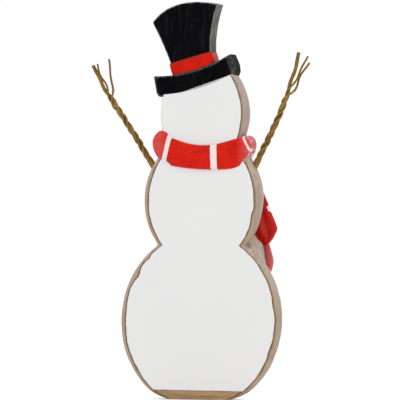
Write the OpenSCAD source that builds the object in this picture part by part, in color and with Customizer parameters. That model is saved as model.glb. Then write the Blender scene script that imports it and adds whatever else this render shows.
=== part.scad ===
// Wooden snowman figure: a carved three-ball board with a flat back, a tilted top hat, a carved scarf
// with two tails, knob features and a twisted twig arm pushed into each shoulder.
// Millimetres. +Z is up, the front faces -Y, and the origin is the centre of the underside.

/* [Balls] */
// Width of the lower ball
lower_w = 208; // [200:1:214]
// Width of the middle ball
middle_w = 151; // [146:1:156]
// Width of the head
head_w = 109; // [106:1:112]
// Thickness of the board at the lower ball, flat back to domed front
board_t = 50; // [47:1:53]
// Width of the worn, rounded edge between the flat back and the side
worn_edge = 8; // [6:0.5:9]

/* [Hat] */
// Tilt of the hat to the figure's left
hat_tilt = 15.5; // [13:0.5:18]
// Length of the brim from end to end
brim_l = 108; // [102:2:112]
// Thickness of the brim
brim_t = 26.5; // [23:0.5:28]
// Depth of the brim from front to back
brim_depth = 37; // [36:1:42]
// Depth of the crown from front to back
crown_depth = 30; // [27:1:31]
// Height of the crown above the brim
crown_h = 88; // [82:1:93]

/* [Scarf] */
// Overall width of the scarf round the neck
scarf_w = 128; // [126:1:132]
// How far the scarf stands proud of the flat back
scarf_proud = 6; // [5:0.5:7]
// Thickness of the hanging tails
tail_t = 11; // [9:1:13]

/* [Face and buttons] */
// Length of the carrot nose
nose_l = 42; // [30:1:50]
// Width of a coat button
button_w = 19; // [16:1:22]

/* [Arms] */
// Radius of the round butt of each arm
butt_r = 4; // [3.5:0.1:4.5]
// Depth of the drilled socket for each arm
socket_depth = 28; // [24:1:32]

/* [Hidden] */

$fn = 48;

// ---- the board ----
back_y = 24;          // the flat back stands this far behind the origin
lower_z = 99;
middle_z = 250;
head_z = 359;
lower_h = 226;        // full height of each ball, before the base is cut flat
middle_h = 169;
head_h = 140;
edge_depth = 9;       // how far the rounded edge runs in from the flat back
WALL_SHARE = [[lower_z, 0.15], [middle_z, 0.37], [head_z, 0.78]]; // straight share of the side at each height
dome_power = 0.8;     // below 1 makes the domed front fuller
rim_share = 0.55;     // thickness at the top and bottom of a ball, as a share of its centre's
waist_blend = 5;      // softness of the waist and the neck
edge_rise = 0.4;      // how far the worn edge runs in at the top and bottom of a ball, as a share of its width
slice = 6;            // spacing of the board's cross-sections
foot_round = 14;      // radius of the base's lower corners
foot_cut = 0.28;      // how much thinner the board is at its underside
foot_h = 50;          // height over which it thins
SWAY = [[0, 3], [lower_z, 0.6], [middle_z, -1.2], [head_z, -1.8]]; // how far each height stands off to the side
board_top = 412;      // the last cross-section, which the hat hides
SLICES = concat([0, 1, 2.5, 5], [for (z = [8 : slice : board_top]) z]);
// each ball: centre height, half width, half height, worn edge, thickness
BALLS = [[lower_z, lower_w / 2, lower_h / 2, worn_edge, board_t],
         [middle_z, middle_w / 2, middle_h / 2, worn_edge, board_t - 4],
         [head_z, head_w / 2, head_h / 2, worn_edge - 4.2, board_t - 5]];

function ellipse_share(q) = abs(q) < 1 ? sqrt(1 - q * q) : 0;
function soft_max(a, b, k) = max(a, b) + pow(max(k - abs(a - b), 0), 2) / (4 * k);
function ball_share(b, z, inset) = ellipse_share((z - b[0]) / (b[2] - inset));
function ball_w(b, z) = b[1] * ball_share(b, z, 0);
function ball_back_w(b, z) = (b[1] - b[3]) * ball_share(b, z, b[3] * edge_rise);
function ball_depth(b, z) = b[4] * (rim_share + (1 - rim_share) * ball_share(b, z, 0)) * sign(ball_share(b, z, 0));
function over_balls(v, k) = soft_max(soft_max(v[0], v[1], k), v[2], k);
function foot_in(z) = z < foot_round ? foot_round - sqrt(foot_round * foot_round - pow(foot_round - z, 2)) : 0;
function foot_share(z) = 1 - foot_cut * pow(max(1 - z / foot_h, 0), 2);
function outer_w(z) = over_balls([for (b = BALLS) ball_w(b, z)], waist_blend) - foot_in(z);
function back_w(z) = max([for (b = BALLS) ball_back_w(b, z)]) - foot_in(z) * 0.6;
function depth_at(z) = over_balls([for (b = BALLS) ball_depth(b, z)], waist_blend / 2) * foot_share(z);
function wall_at(z) = lookup(z, WALL_SHARE) * depth_at(z);
// the domed front's y at a point of the face
function front_y(x, z) =
    let (w = outer_w(z), t = depth_at(z), wall = wall_at(z), q = min(abs(x - lookup(z, SWAY)) / w, 1))
    back_y - wall - (t - wall) * pow(1 - pow(q, 2 / dome_power), dome_power / 2);
// the outward direction of the front there
function front_normal(x, z) =
    let (dx = (front_y(x + 1, z) - front_y(x - 1, z)) / 2, dz = (front_y(x, z + 1) - front_y(x, z - 1)) / 2)
    [dx, -1, dz] / norm([dx, -1, dz]);

// one horizontal cross-section: round the edge, down the side and over the domed front
function half_section(z) =
    let (w = outer_w(z), b = back_w(z), t = depth_at(z), wall = wall_at(z), d = min(edge_depth, wall))
    concat([for (a = [0 : 30 : 89]) [b + (w - b) * sin(a), back_y - d * (1 - cos(a))]],
           [[w, back_y - d]],
           [for (a = [0 : 9 : 90])
               [w * pow(cos(a), dome_power), back_y - wall - (t - wall) * pow(sin(a), dome_power)]]);
function section(z) =
    let (h = half_section(z), n = len(h), off = lookup(z, SWAY))
    concat([for (p = h) [off + p[0], p[1], z]], [for (i = [n - 2 : -1 : 0]) [off - h[i][0], h[i][1], z]]);

// a closed solid through a list of rings that all have the same number of points
module loft(rings) {
    n = len(rings[0]);
    m = len(rings);
    polyhedron(points = [for (r = rings) for (p = r) p],
               faces = concat([[for (i = [n - 1 : -1 : 0]) i]],
                              [for (k = [0 : m - 2]) for (i = [0 : n - 1])
                                  [k * n + i, k * n + (i + 1) % n, (k + 1) * n + (i + 1) % n, (k + 1) * n + i]],
                              [[for (i = [0 : n - 1]) (m - 1) * n + i]]));
}

// the wood left standing in the right side of the waist, behind the scarf's tails: height, reach to the side
WEB = [[165, 79], [172, 78.5], [179, 77], [187, 76], [194, 75], [198, 71], [203, 66.5], [210, 62]];
web_in = 3;           // how far inside the board's edge it starts
web_back_y = 15;
web_side_y = -4;
web_front_y = -13;
web_front_in = 12;
web_root = 30;

function web_ring(q) =
    [[-web_root, 12, q[0]], [-web_root, -12, q[0]], [web_front_in - q[1], web_front_y, q[0]],
     [-q[1], web_side_y, q[0]], [web_in - outer_w(q[0]), web_back_y, q[0]]];

module board_blank() {
    union() {
        loft([for (z = SLICES) section(z)]);
        loft([for (q = WEB) web_ring(q)]);
    }
}

// puts a child, made along +Z, on the domed front at x, z and points it outwards
module on_front(x, z) {
    dir = front_normal(x, z);
    translate([x, front_y(x, z), z])
        rotate([0, acos(dir[2]), atan2(dir[1], dir[0])])
            children();
}

module body_board() {
    color("whitesmoke")
    difference() {
        board_blank();
        hat_frame() seat_disc(seat_r, brim_depth + 40);
        hat_frame() dowel_pair();
        for (side = [1, -1]) arm_frame(side) translate([0, 0, -socket_depth]) cylinder(r = socket_r, h = 80);
        on_front(0, nose_z) translate([0, 0, -nose_peg_l]) cylinder(r = nose_peg_r, h = 2 * nose_peg_l);
        for (x = [eye_x, -eye_x]) on_front(x, eye_z) stem_hole();
        for (a = MOUTH) on_front(mouth_x(a), mouth_zz(a)) stem_hole();
        for (z = BUTTON_Z) on_front(0, z) stem_hole();
        brads();
    }
}

// ---- the hat ----
hat_x = 3.6;          // where the middle of the brim sits on the head
hat_z = 387.7;
hat_y = 0;
seat_r = 205;         // radius of the curve of the brim's underside
brim_lean = 5;        // how far the brim's ends lean in over twice its thickness
right_chamfer = 12;   // how much is taken off the lower corner at each end of the brim
left_chamfer = 8;
crown_foot_w = 50.5;    // width of the crown where it meets the brim
crown_left = 35.5;      // the crown's top corners, from the middle line
crown_right = 53;
crown_left_drop = 14.5; // how far the corners are below the top of the crown
crown_right_drop = 15.5;
band_h = 17.5;
band_proud = 2.8;
dowel_r = 4;
dowel_x = 15;
dowel_low = -22;      // the dowels run from in the head to in the crown
dowel_high = 44;
crown_top = brim_t + crown_h;
brim_end = seat_r - sqrt(seat_r * seat_r - brim_l * brim_l / 4); // height of the underside at the brim's ends

module hat_frame() {
    translate([hat_x, hat_y, hat_z]) rotate([0, hat_tilt, 0]) children();
}

// a wide disc whose lowest line is at z = 0 and which everything above the brim's underside lies in
module seat_disc(r, depth) {
    translate([0, 0, seat_r]) rotate([90, 0, 0]) cylinder(r = r, h = depth, center = true, $fn = 180);
}

module dowel_pair() {
    for (x = [dowel_x, -dowel_x])
        translate([x, 0, dowel_low]) cylinder(r = dowel_r, h = dowel_high - dowel_low);
}

module hat_brim() {
    color("black")
    hat_frame() difference() {
        intersection() {
            seat_disc(seat_r, brim_depth);
            rotate([90, 0, 0]) linear_extrude(height = brim_depth, center = true)
                polygon([[-brim_l / 2, brim_end + right_chamfer], [right_chamfer - brim_l / 2, brim_end],
                         [0, -10], [brim_l / 2 - left_chamfer, brim_end], [brim_l / 2, brim_end + left_chamfer],
                         [brim_l / 2 - brim_lean, brim_t * 2], [brim_lean - brim_l / 2, brim_t * 2]]);
        }
        seat_disc(seat_r - brim_t, brim_depth + 2);
        dowel_pair();
    }
}

// a point on a quadratic curve
function bow(p, q, r, t) = p * (1 - t) * (1 - t) + q * 2 * t * (1 - t) + r * t * t;

// the crown seen from the front: flared sides that bow in, and a domed top
function crown_side(s, reach, drop) =
    [for (t = [0 : 0.2 : 1])
        bow([s * crown_foot_w / 2, brim_t - 2], [s * (crown_foot_w / 2 + 2), brim_t + crown_h * 0.4],
            [s * reach, crown_top - drop], t)];
function crown_lid() =
    [for (t = [0.1 : 0.1 : 0.9])
        bow([-crown_right, crown_top - crown_right_drop], [2, crown_top + crown_right_drop - 4],
            [crown_left, crown_top - crown_left_drop], t)];
function reversed(v) = [for (i = [len(v) - 1 : -1 : 0]) v[i]];

module crown_slab(depth) {
    rotate([90, 0, 0])
        linear_extrude(height = depth, center = true)
            polygon(concat(crown_side(-1, crown_right, crown_right_drop), crown_lid(),
                           reversed(crown_side(1, crown_left, crown_left_drop))));
}

module hat_crown() {
    color("black")
    hat_frame() difference() {
        intersection() {
            crown_slab(crown_depth);
            seat_disc(seat_r - brim_t, crown_depth + 2);
        }
        dowel_pair();
    }
}

module hat_band() {
    w = crown_foot_w + 2 * band_proud + 1.4;
    d = crown_depth + 2 * band_proud;
    color("red")
    hat_frame() difference() {
        intersection() {
            translate([-w / 2, -d / 2, brim_t - 2]) cube([w, d, band_h + 2]);
            seat_disc(seat_r - brim_t, d + 2);
        }
        crown_slab(crown_depth);
    }
}

module hat_dowels() {
    color("burlywood") hat_frame() dowel_pair();
}

// ---- the scarf ----
scarf_z = 304.5;      // height of the scarf's middle line at the centre of the back
scarf_rise = 14.5;    // how much higher its middle line is at the sides
scarf_lean = 3.2;     // how much higher it is again on the figure's left
scarf_half_h = 16.5;
scarf_fat = 10;       // extra half height towards the sides
scarf_end_h = 43;     // sets how bluntly its ends close
scarf_horn = [[-0.95, 4], [-0.8, 0], [0.58, 0.3], [0.7, 4.8], [0.82, 3], [0.95, 0.5]]; // extra rise of the ends, by the share of its width
scarf_front = -27;
scarf_power = 0.36;   // below 1 makes the ring's section squarer
knot = [-36, 294];    // x and z of the knot
brad_r = 0.8;
brad_l = 15;
brad_x = 22;

function loop_section(a) =
    let (s = sin(a), c = cos(a), cy = (back_y + scarf_proud + scarf_front) / 2,
         half_y = (back_y + scarf_proud - scarf_front) / 2 * pow(c, 0.27),
         half_z = pow(pow(scarf_half_h + scarf_fat * s * s, -4) + pow(scarf_end_h * pow(c, 1.2), -4), -0.25),
         mid_z = scarf_z + scarf_lean * s + scarf_rise * s * s + lookup(s, scarf_horn))
    [for (b = [0 : 18 : 359])
        [scarf_w / 2 * s,
         cy + half_y * sign(cos(b)) * pow(abs(cos(b)), scarf_power),
         mid_z - half_z * sign(sin(b)) * pow(abs(sin(b)), scarf_power)]];

module scarf_loop() {
    loft([for (a = [-84 : 7 : 84]) loop_section(a)]);
}

module scarf_half(front) {
    difference() {
        scarf_loop();
        board_blank();
        translate([-100, front ? 0 : -100, 240]) cube([200, 100, 120]);
    }
}

module brads() {
    for (x = [-brad_x, brad_x])
        translate([x, back_y + 3 - brad_l, scarf_z]) rotate([-90, 0, 0]) cylinder(r = brad_r, h = brad_l, $fn = 24);
}

module scarf_back() {
    color("firebrick") difference() {
        scarf_half(false);
        brads();
    }
}

module scarf_front() {
    color("firebrick") scarf_half(true);
}

module scarf_brads() {
    color("silver") brads();
}

// a carved strip that hangs from one point to another: a row of soft rectangles
function strip_ring(c, across, half_w, half_t) =
    [for (b = [0 : 20 : 359])
        c + across * half_w * sign(cos(b)) * pow(abs(cos(b)), 0.5) + [0, 1, 0] * half_t * sign(sin(b)) * pow(abs(sin(b)), 0.7)];

// each tail: top point, bend, end point, half width at the top and where it is widest
SHORT_TAIL = [[-46, -24, 292], [-60, -27, 250], [-75.5, -21, 193.5], 8.5, 20.5];
LONG_TAIL = [[-34, -27, 286], [-50, -34, 235], [-68.5, -31, 143], 11, 21];
tail_widest = 0.84;   // the share of its length where a tail starts to close to its point
TAIL_SHARES = concat([for (t = [0 : 0.1 : 0.8]) t], [tail_widest, 0.88, 0.92, 0.96, 0.985, 1]);

function tail_close(t) = t < tail_widest ? 1 : 1 - 0.9 * pow((t - tail_widest) / (1 - tail_widest), 1.5);

function tail_rings(tail) =
    [for (t = TAIL_SHARES)
        let (p = bow(tail[0], tail[1], tail[2], t),
             ahead = bow(tail[0], tail[1], tail[2], t + 0.01) - p,
             across = [-ahead[2], 0, ahead[0]] / norm([ahead[0], ahead[2]]))
        strip_ring(p, across, (tail[3] + (tail[4] - tail[3]) * t) * tail_close(t), tail_t / 2)];

module tail_blank(tail) {
    loft(tail_rings(tail));
}

module scarf_knot_blank() {
    loft([for (a = [-80 : 16 : 80])
             [for (b = [0 : 20 : 359])
                 [knot[0] + 15 * sin(a), scarf_front - 3 + 11 * cos(a) * cos(b), knot[1] - 17 * cos(a) * sin(b)]]]);
}

module scarf_knot() {
    color("firebrick") difference() {
        scarf_knot_blank();
        scarf_loop();
        board_blank();
    }
}

module scarf_tail_short() {
    color("firebrick") difference() {
        tail_blank(SHORT_TAIL);
        tail_blank(LONG_TAIL);
        scarf_knot_blank();
        scarf_loop();
        board_blank();
    }
}

module scarf_tail_long() {
    color("firebrick") difference() {
        tail_blank(LONG_TAIL);
        scarf_knot_blank();
        scarf_loop();
        board_blank();
    }
}

// ---- the face and the buttons: turned knobs with a stem, and a turned carrot ----
nose_z = 358;
nose_r = 8.5;
nose_peg_r = 3;
nose_peg_l = 14;
stem_r = 1.6;
stem_l = 9;
eye_x = 18;
eye_z = 374;
eye_w = 9.5;
pebble_w = 6.5;
MOUTH = [-56 : 28 : 56];   // angles of the mouth pebbles below the nose
mouth_r = 24;
BUTTON_Z = [276, 240, 138];

function mouth_x(a) = mouth_r * sin(a);
function mouth_zz(a) = nose_z - mouth_r * 0.95 * cos(a);

module stem_hole() {
    translate([0, 0, -stem_l]) cylinder(r = stem_r, h = 2 * stem_l, $fn = 24);
}

// a low domed knob on a stem
module knob(w) {
    rim = w * 0.18;
    dome = w * 0.24;
    union() {
        cylinder(r = w / 2, h = rim);
        translate([0, 0, rim]) intersection() {
            translate([0, 0, dome / 2 - w * w / (8 * dome)]) sphere(r = dome / 2 + w * w / (8 * dome));
            cylinder(r = w / 2, h = dome);
        }
        translate([0, 0, -stem_l + 0.4]) cylinder(r = stem_r, h = stem_l, $fn = 24);
    }
}

module carrot_nose() {
    color("darkorange") on_front(0, nose_z) rotate_extrude()
        polygon([[0, 0.6 - nose_peg_l], [nose_peg_r, 0.6 - nose_peg_l], [nose_peg_r, 0], [nose_r * 0.86, 0],
                 [nose_r, 3], [nose_r * 0.72, nose_l * 0.4], [nose_r * 0.4, nose_l * 0.75],
                 [nose_r * 0.18, nose_l * 0.96], [0, nose_l]]);
}

module eye(side) {
    color("dimgray") on_front(side * eye_x, eye_z) knob(eye_w);
}

module left_eye() eye(1);
module right_eye() eye(-1);

module mouth_pebbles() {
    color("dimgray") for (a = MOUTH) on_front(mouth_x(a), mouth_zz(a)) knob(pebble_w);
}

module coat_button(i) {
    color("dimgray") on_front(0, BUTTON_Z[i]) knob(button_w);
}

module coat_button_top() coat_button(0);
module coat_button_middle() coat_button(1);
module coat_button_bottom() coat_button(2);

// ---- the arms: three twigs twisted together, the thickest whittled round at the butt ----
socket_r = butt_r + 0.05;
shoulder_x = 66.5;
shoulder_y = 4;
shoulder_z = 294;
left_lean = 30;       // the sockets' lean from upright
right_lean = 28;
pitch = 38;           // length of one turn of the twist
butt_out = 5;         // the round butt stands this far out of the shoulder
twig_sides = 8;

// frame of a socket: its mouth at the origin and +Z out along the arm
module arm_frame(side) {
    translate([side * shoulder_x, shoulder_y, shoulder_z]) rotate([0, side > 0 ? left_lean : -right_lean, 0]) children();
}

// Points of each arm's stem and of its three fingers, in the socket's frame: +x is to the figure's left.
LEFT_STEM = [[0, 0, butt_out], [1.5, 0, 40], [3, 0, 67], [5, 0, 98]];
LEFT_FINGERS = [[[6, 0, 116], [6, 0, 130], [5, 0, 149.5]],
                [[3.5, 1, 118], [2, 2, 134], [-1.5, 2, 148]],
                [[-1.5, -1, 112], [-8, -2, 125], [-16.5, -3, 146.5]]];
RIGHT_STEM = [[0, 0, butt_out], [1, 0, 35], [2, 0, 65], [4.5, 0, 88]];
RIGHT_FINGERS = [[[7.5, 0, 106], [11, 0, 128], [17.3, 0, 151.5]],
                 [[5.3, 1, 107], [4, 3, 130], [4, 3, 153]],
                 [[1.5, -2, 110], [1.6, -3, 128], [0, -4, 146]]];
// each twig: twist radius, phase, radius at the stem, radius at the tip
TWIGS = [[1.5, 0, 2.4, 2.2], [2.75, 130, 1.5, 1.2], [2.75, 230, 1.5, 1.3]];
steps = 5;            // rings between two points of a route

// a smooth curve through the points of a route
function spline(p, i, t) =
    let (a = p[max(i - 1, 0)], b = p[i], c = p[i + 1], d = p[min(i + 2, len(p) - 1)])
    ((b * 2) + (c - a) * t + (a * 2 - b * 5 + c * 4 - d) * t * t + (b * 3 - a - c * 3 + d) * t * t * t) / 2;
function route(p) =
    concat([for (i = [0 : len(p) - 2]) for (k = [0 : steps - 1]) spline(p, i, k / steps)], [p[len(p) - 1]]);

function twig_rings(points, twig, stem_count) =
    let (r = route(points), n = len(r), bare = (stem_count - 1) * steps)
    [for (i = [0 : n - 1])
        let (ahead = r[min(i + 1, n - 1)] - r[max(i - 1, 0)],
             across = [ahead[2], 0, -ahead[0]] / norm([ahead[0], ahead[2]]),
             fade = i < bare ? 1 : 1 - (i - bare) / (n - 1 - bare),
             turn = twig[1] + 360 * r[i][2] / pitch,
             c = r[i] + (across * cos(turn) + [0, sin(turn), 0]) * twig[0] * fade,
             size = twig[3] + (twig[2] - twig[3]) * (1 - i / (n - 1)))
        [for (b = [0 : 360 / twig_sides : 359]) c + (across * cos(b) - [0, sin(b), 0]) * size]];

module twig(stem, finger, k) {
    loft(twig_rings(concat(stem, finger), TWIGS[k], len(stem)));
}

module main_twig(side, stem, fingers) {
    color("peru") arm_frame(side) union() {
        translate([0, 0, 0.5 - socket_depth]) cylinder(r = butt_r, h = socket_depth + butt_out - 0.5);
        twig(stem, fingers[0], 0);
    }
}

module thin_twig(side, stem, fingers, k) {
    color("peru") arm_frame(side) twig(stem, fingers[k], k);
}

module left_arm_main_twig() main_twig(1, LEFT_STEM, LEFT_FINGERS);
module left_arm_second_twig() thin_twig(1, LEFT_STEM, LEFT_FINGERS, 1);
module left_arm_third_twig() thin_twig(1, LEFT_STEM, LEFT_FINGERS, 2);
module right_arm_main_twig() main_twig(-1, RIGHT_STEM, RIGHT_FINGERS);
module right_arm_second_twig() thin_twig(-1, RIGHT_STEM, RIGHT_FINGERS, 1);
module right_arm_third_twig() thin_twig(-1, RIGHT_STEM, RIGHT_FINGERS, 2);

body_board();
hat_brim();
hat_crown();
hat_band();
hat_dowels();
scarf_back();
scarf_front();
scarf_knot();
scarf_tail_short();
scarf_tail_long();
scarf_brads();
carrot_nose();
left_eye();
right_eye();
mouth_pebbles();
coat_button_top();
coat_button_middle();
coat_button_bottom();
left_arm_main_twig();
left_arm_second_twig();
left_arm_third_twig();
right_arm_main_twig();
right_arm_second_twig();
right_arm_third_twig();
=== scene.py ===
"""A painted wooden snowman, carved from a board, with a tilted top hat, a red scarf and two vine arms.

Sizes in the classes are millimetres in the figure's own frame: +Z is up, the face looks along -Y, the flat
back looks along +Y, and +X is the figure's left. Meshes are scaled to metres when they are made.
"""

import logging
import math
from dataclasses import dataclass, field, replace
from enum import Enum
from typing import Any, Callable, Sequence, Union

import bmesh
import bpy
import numpy as np
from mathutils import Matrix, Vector, noise


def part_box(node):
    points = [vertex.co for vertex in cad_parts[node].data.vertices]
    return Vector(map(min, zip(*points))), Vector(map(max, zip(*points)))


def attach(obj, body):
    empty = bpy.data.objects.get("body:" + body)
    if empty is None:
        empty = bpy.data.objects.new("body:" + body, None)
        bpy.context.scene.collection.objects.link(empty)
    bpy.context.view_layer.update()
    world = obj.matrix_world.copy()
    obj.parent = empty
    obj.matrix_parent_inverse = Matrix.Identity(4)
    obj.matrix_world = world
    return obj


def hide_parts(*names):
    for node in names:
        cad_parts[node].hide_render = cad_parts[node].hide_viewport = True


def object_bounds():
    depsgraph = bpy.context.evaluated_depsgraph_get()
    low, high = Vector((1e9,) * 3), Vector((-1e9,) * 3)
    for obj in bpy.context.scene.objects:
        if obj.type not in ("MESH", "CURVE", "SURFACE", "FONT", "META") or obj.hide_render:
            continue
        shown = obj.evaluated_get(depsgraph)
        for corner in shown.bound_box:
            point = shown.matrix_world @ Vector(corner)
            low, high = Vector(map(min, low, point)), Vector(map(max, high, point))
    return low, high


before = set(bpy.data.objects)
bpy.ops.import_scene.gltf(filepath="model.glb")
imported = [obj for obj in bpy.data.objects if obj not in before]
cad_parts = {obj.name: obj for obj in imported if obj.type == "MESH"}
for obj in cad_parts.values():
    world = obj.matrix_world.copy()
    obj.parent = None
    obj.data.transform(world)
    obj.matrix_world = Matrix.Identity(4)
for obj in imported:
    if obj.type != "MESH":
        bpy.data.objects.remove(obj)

CAD_BOX = [list(corner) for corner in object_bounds()]
MM = 0.001
LOG = logging.getLogger("snowman")

Colour = tuple[float, float, float]
Number = Union[float, "Wire"]
Waves = Sequence[tuple[float, float, float]]
Profile = Callable[[np.ndarray], tuple[np.ndarray, np.ndarray]]


class Body(Enum):
    """The parts of the figure that move as one."""

    FIGURE = "figure"
    LEFT_ARM = "left_arm"
    RIGHT_ARM = "right_arm"


class Slot(Enum):
    """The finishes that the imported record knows."""

    WHITE = "white_painted_wood"
    BLACK = "black_painted_wood"
    RED = "red_painted_wood"
    ORANGE = "orange_painted_wood"
    CHARCOAL = "charcoal_painted_wood"
    BARK = "twig_bark"


# ---- shader tools ----


class Wire:
    """A number that a node gives out. It takes part in sums as a plain number does."""

    def __init__(self, bench: "Bench", socket: bpy.types.NodeSocket) -> None:
        """Keeps the socket and the bench that its nodes stand on."""
        self.bench = bench
        self.socket = socket

    def __add__(self, other: Number) -> "Wire":
        """Gives self + other."""
        return self.bench.sum_of("ADD", self, other)

    def __sub__(self, other: Number) -> "Wire":
        """Gives self - other."""
        return self.bench.sum_of("SUBTRACT", self, other)

    def __rsub__(self, other: Number) -> "Wire":
        """Gives other - self."""
        return self.bench.sum_of("SUBTRACT", other, self)

    def __mul__(self, other: Number) -> "Wire":
        """Gives self * other."""
        return self.bench.sum_of("MULTIPLY", self, other)

    def __truediv__(self, other: Number) -> "Wire":
        """Gives self / other."""
        return self.bench.sum_of("DIVIDE", self, other)

    __radd__ = __add__
    __rmul__ = __mul__

    def step(self, low: float, high: float) -> "Wire":
        """Rises smoothly from 0 to 1 as the number goes from low to high, or falls if low is above high.

        Args:
            low: the value that gives 0.
            high: the value that gives 1.

        Returns:
            A number from 0 to 1.
        """
        rising = low < high
        node = self.bench.node(
            "ShaderNodeMapRange",
            {"interpolation_type": "SMOOTHSTEP"},
            {"Value": self, "From Min": min(low, high), "From Max": max(low, high),
             "To Min": 0.0 if rising else 1.0, "To Max": 1.0 if rising else 0.0},
        )
        return Wire(self.bench, node.outputs["Result"])


class Bench:
    """The workbench of one material: it adds nodes and joins them."""

    def __init__(self, name: str) -> None:
        """Makes an empty material called name, with its shader and its output.

        Args:
            name: the material's name.
        """
        self.material = bpy.data.materials.new(name)
        self.material.use_nodes = True
        self.tree = self.material.node_tree
        self.tree.nodes.clear()
        self.shader = self.node("ShaderNodeBsdfPrincipled", {}, {})
        output = self.node("ShaderNodeOutputMaterial", {}, {})
        self.tree.links.new(self.shader.outputs["BSDF"], output.inputs["Surface"])
        self.place = self.node("ShaderNodeTexCoord", {}, {}).outputs["Object"]

    def node(self, kind: str, settings: dict[str, Any], inputs: dict[Any, Any]) -> bpy.types.Node:
        """Adds a node of any kind.

        Args:
            kind: the node's type.
            settings: its own choices, set first.
            inputs: a value, socket or Wire for each of its sockets, by name or number.

        Returns:
            The new node.
        """
        made = self.tree.nodes.new(kind)
        for key, value in settings.items():
            setattr(made, key, value)
        for key, value in inputs.items():
            self.plug(made.inputs[key], value)
        return made

    def plug(self, socket: bpy.types.NodeSocket, value: Any) -> None:
        """Puts a value or a link on a socket, and gives a colour its fourth number.

        Args:
            socket: the socket that takes it.
            value: a plain value, a socket or a Wire.
        """
        if isinstance(value, Wire):
            value = value.socket
        if isinstance(value, bpy.types.NodeSocket):
            self.tree.links.new(value, socket)
        elif socket.type == "RGBA":
            socket.default_value = (*value, 1.0)
        else:
            socket.default_value = value

    def sum_of(self, operation: str, a: Number, b: Number) -> Wire:
        """Adds one Math node and gives its result."""
        return Wire(self, self.node("ShaderNodeMath", {"operation": operation}, {0: a, 1: b}).outputs[0])

    def reading(self, name: str) -> Wire:
        """Gives the number that the mesh stores under a name."""
        return Wire(self, self.node("ShaderNodeAttribute", {"attribute_name": name}, {}).outputs["Fac"])

    def stored_place(self, name: str) -> bpy.types.NodeSocket:
        """Gives the vector that the mesh stores under a name."""
        return self.node("ShaderNodeAttribute", {"attribute_name": name}, {}).outputs["Vector"]

    def height(self) -> Wire:
        """Gives the height above the floor in metres."""
        return Wire(self, self.node("ShaderNodeSeparateXYZ", {}, {0: self.place}).outputs["Z"])

    def stretched(self, scale: Colour, place: Any = None) -> bpy.types.NodeSocket:
        """Gives the place, drawn out or pressed together along each axis."""
        inputs = {0: place or self.place, 1: scale}
        return self.node("ShaderNodeVectorMath", {"operation": "MULTIPLY"}, inputs).outputs["Vector"]

    def grain(self, scale: float, stretch: Colour = (1.0, 1.0, 1.0), detail: float = 4.0, twist: float = 0.0,
              place: Any = None) -> Wire:
        """Gives a soft random pattern.

        Args:
            scale: how many lumps to the metre.
            stretch: how much closer the lumps stand along each axis.
            detail: how many finer layers are added.
            twist: how far the pattern is pulled about.
            place: the vector that it follows, or nothing for the object's own place.

        Returns:
            A number about 0.5, mostly from 0.25 to 0.75.
        """
        inputs = {"Vector": self.stretched(stretch, place), "Scale": scale, "Detail": detail,
                  "Roughness": 0.6, "Distortion": twist}
        return Wire(self, self.node("ShaderNodeTexNoise", {}, inputs).outputs[0])

    def mix(self, share: Number, first: Any, second: Any) -> bpy.types.NodeSocket:
        """Mixes two colours by a share of the second.

        Args:
            share: how much of the second colour there is.
            first: a colour or its socket.
            second: a colour or its socket.

        Returns:
            The mixed colour's socket.
        """
        settings = {"data_type": "RGBA", "blend_type": "MIX", "clamp_factor": True}
        made = self.node("ShaderNodeMix", settings, {"Factor": share})
        self.plug(made.inputs[6], first)
        self.plug(made.inputs[7], second)
        return made.outputs[2]

    def finish(self, colour: Any, roughness: Any, relief: Wire, depth: float, coat: float = 0.0,
               shine: float = 0.25) -> bpy.types.Material:
        """Joins the colour, the roughness and the relief to the shader.

        Args:
            colour: the surface's colour.
            roughness: how matt it is.
            relief: the height pattern.
            depth: how deep the relief is, in metres.
            coat: the strength of a clear top coat.
            shine: how strongly the bare surface mirrors light.

        Returns:
            The finished material.
        """
        bump = self.node("ShaderNodeBump", {}, {"Strength": 1.0, "Distance": depth, "Height": relief})
        self.plug(self.shader.inputs["Base Color"], colour)
        self.plug(self.shader.inputs["Roughness"], roughness)
        self.plug(self.shader.inputs["Normal"], bump.outputs["Normal"])
        self.shader.inputs["Specular IOR Level"].default_value = shine
        self.shader.inputs["Coat Weight"].default_value = coat
        self.shader.inputs["Coat Roughness"].default_value = 0.25
        return self.material


# ---- finishes ----


@dataclass(frozen=True)
class WoodTones:
    """The colours of the bare pine under the paint."""

    light: Colour = (0.50, 0.32, 0.165)
    deep: Colour = (0.24, 0.135, 0.065)
    dark: Colour = (0.085, 0.045, 0.022)

    def colour(self, bench: Bench, along: Colour = (1.0, 1.0, 0.07)) -> bpy.types.NodeSocket:
        """Gives the grained colour of the wood.

        Args:
            bench: the material's bench.
            along: how the grain is drawn out along each axis.

        Returns:
            A colour with growth rings, fine fibres and darker pores.
        """
        rings = bench.grain(150.0, along, 3.0, 0.4).step(0.36, 0.64)
        fibres = bench.grain(900.0, along, 3.0).step(0.30, 0.70)
        pores = bench.grain(1500.0, along, 2.0).step(0.62, 0.76)
        base = bench.mix(rings * 0.75 + fibres * 0.25, self.deep, self.light)
        return bench.mix(pores * 0.45, base, self.dark)


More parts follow.
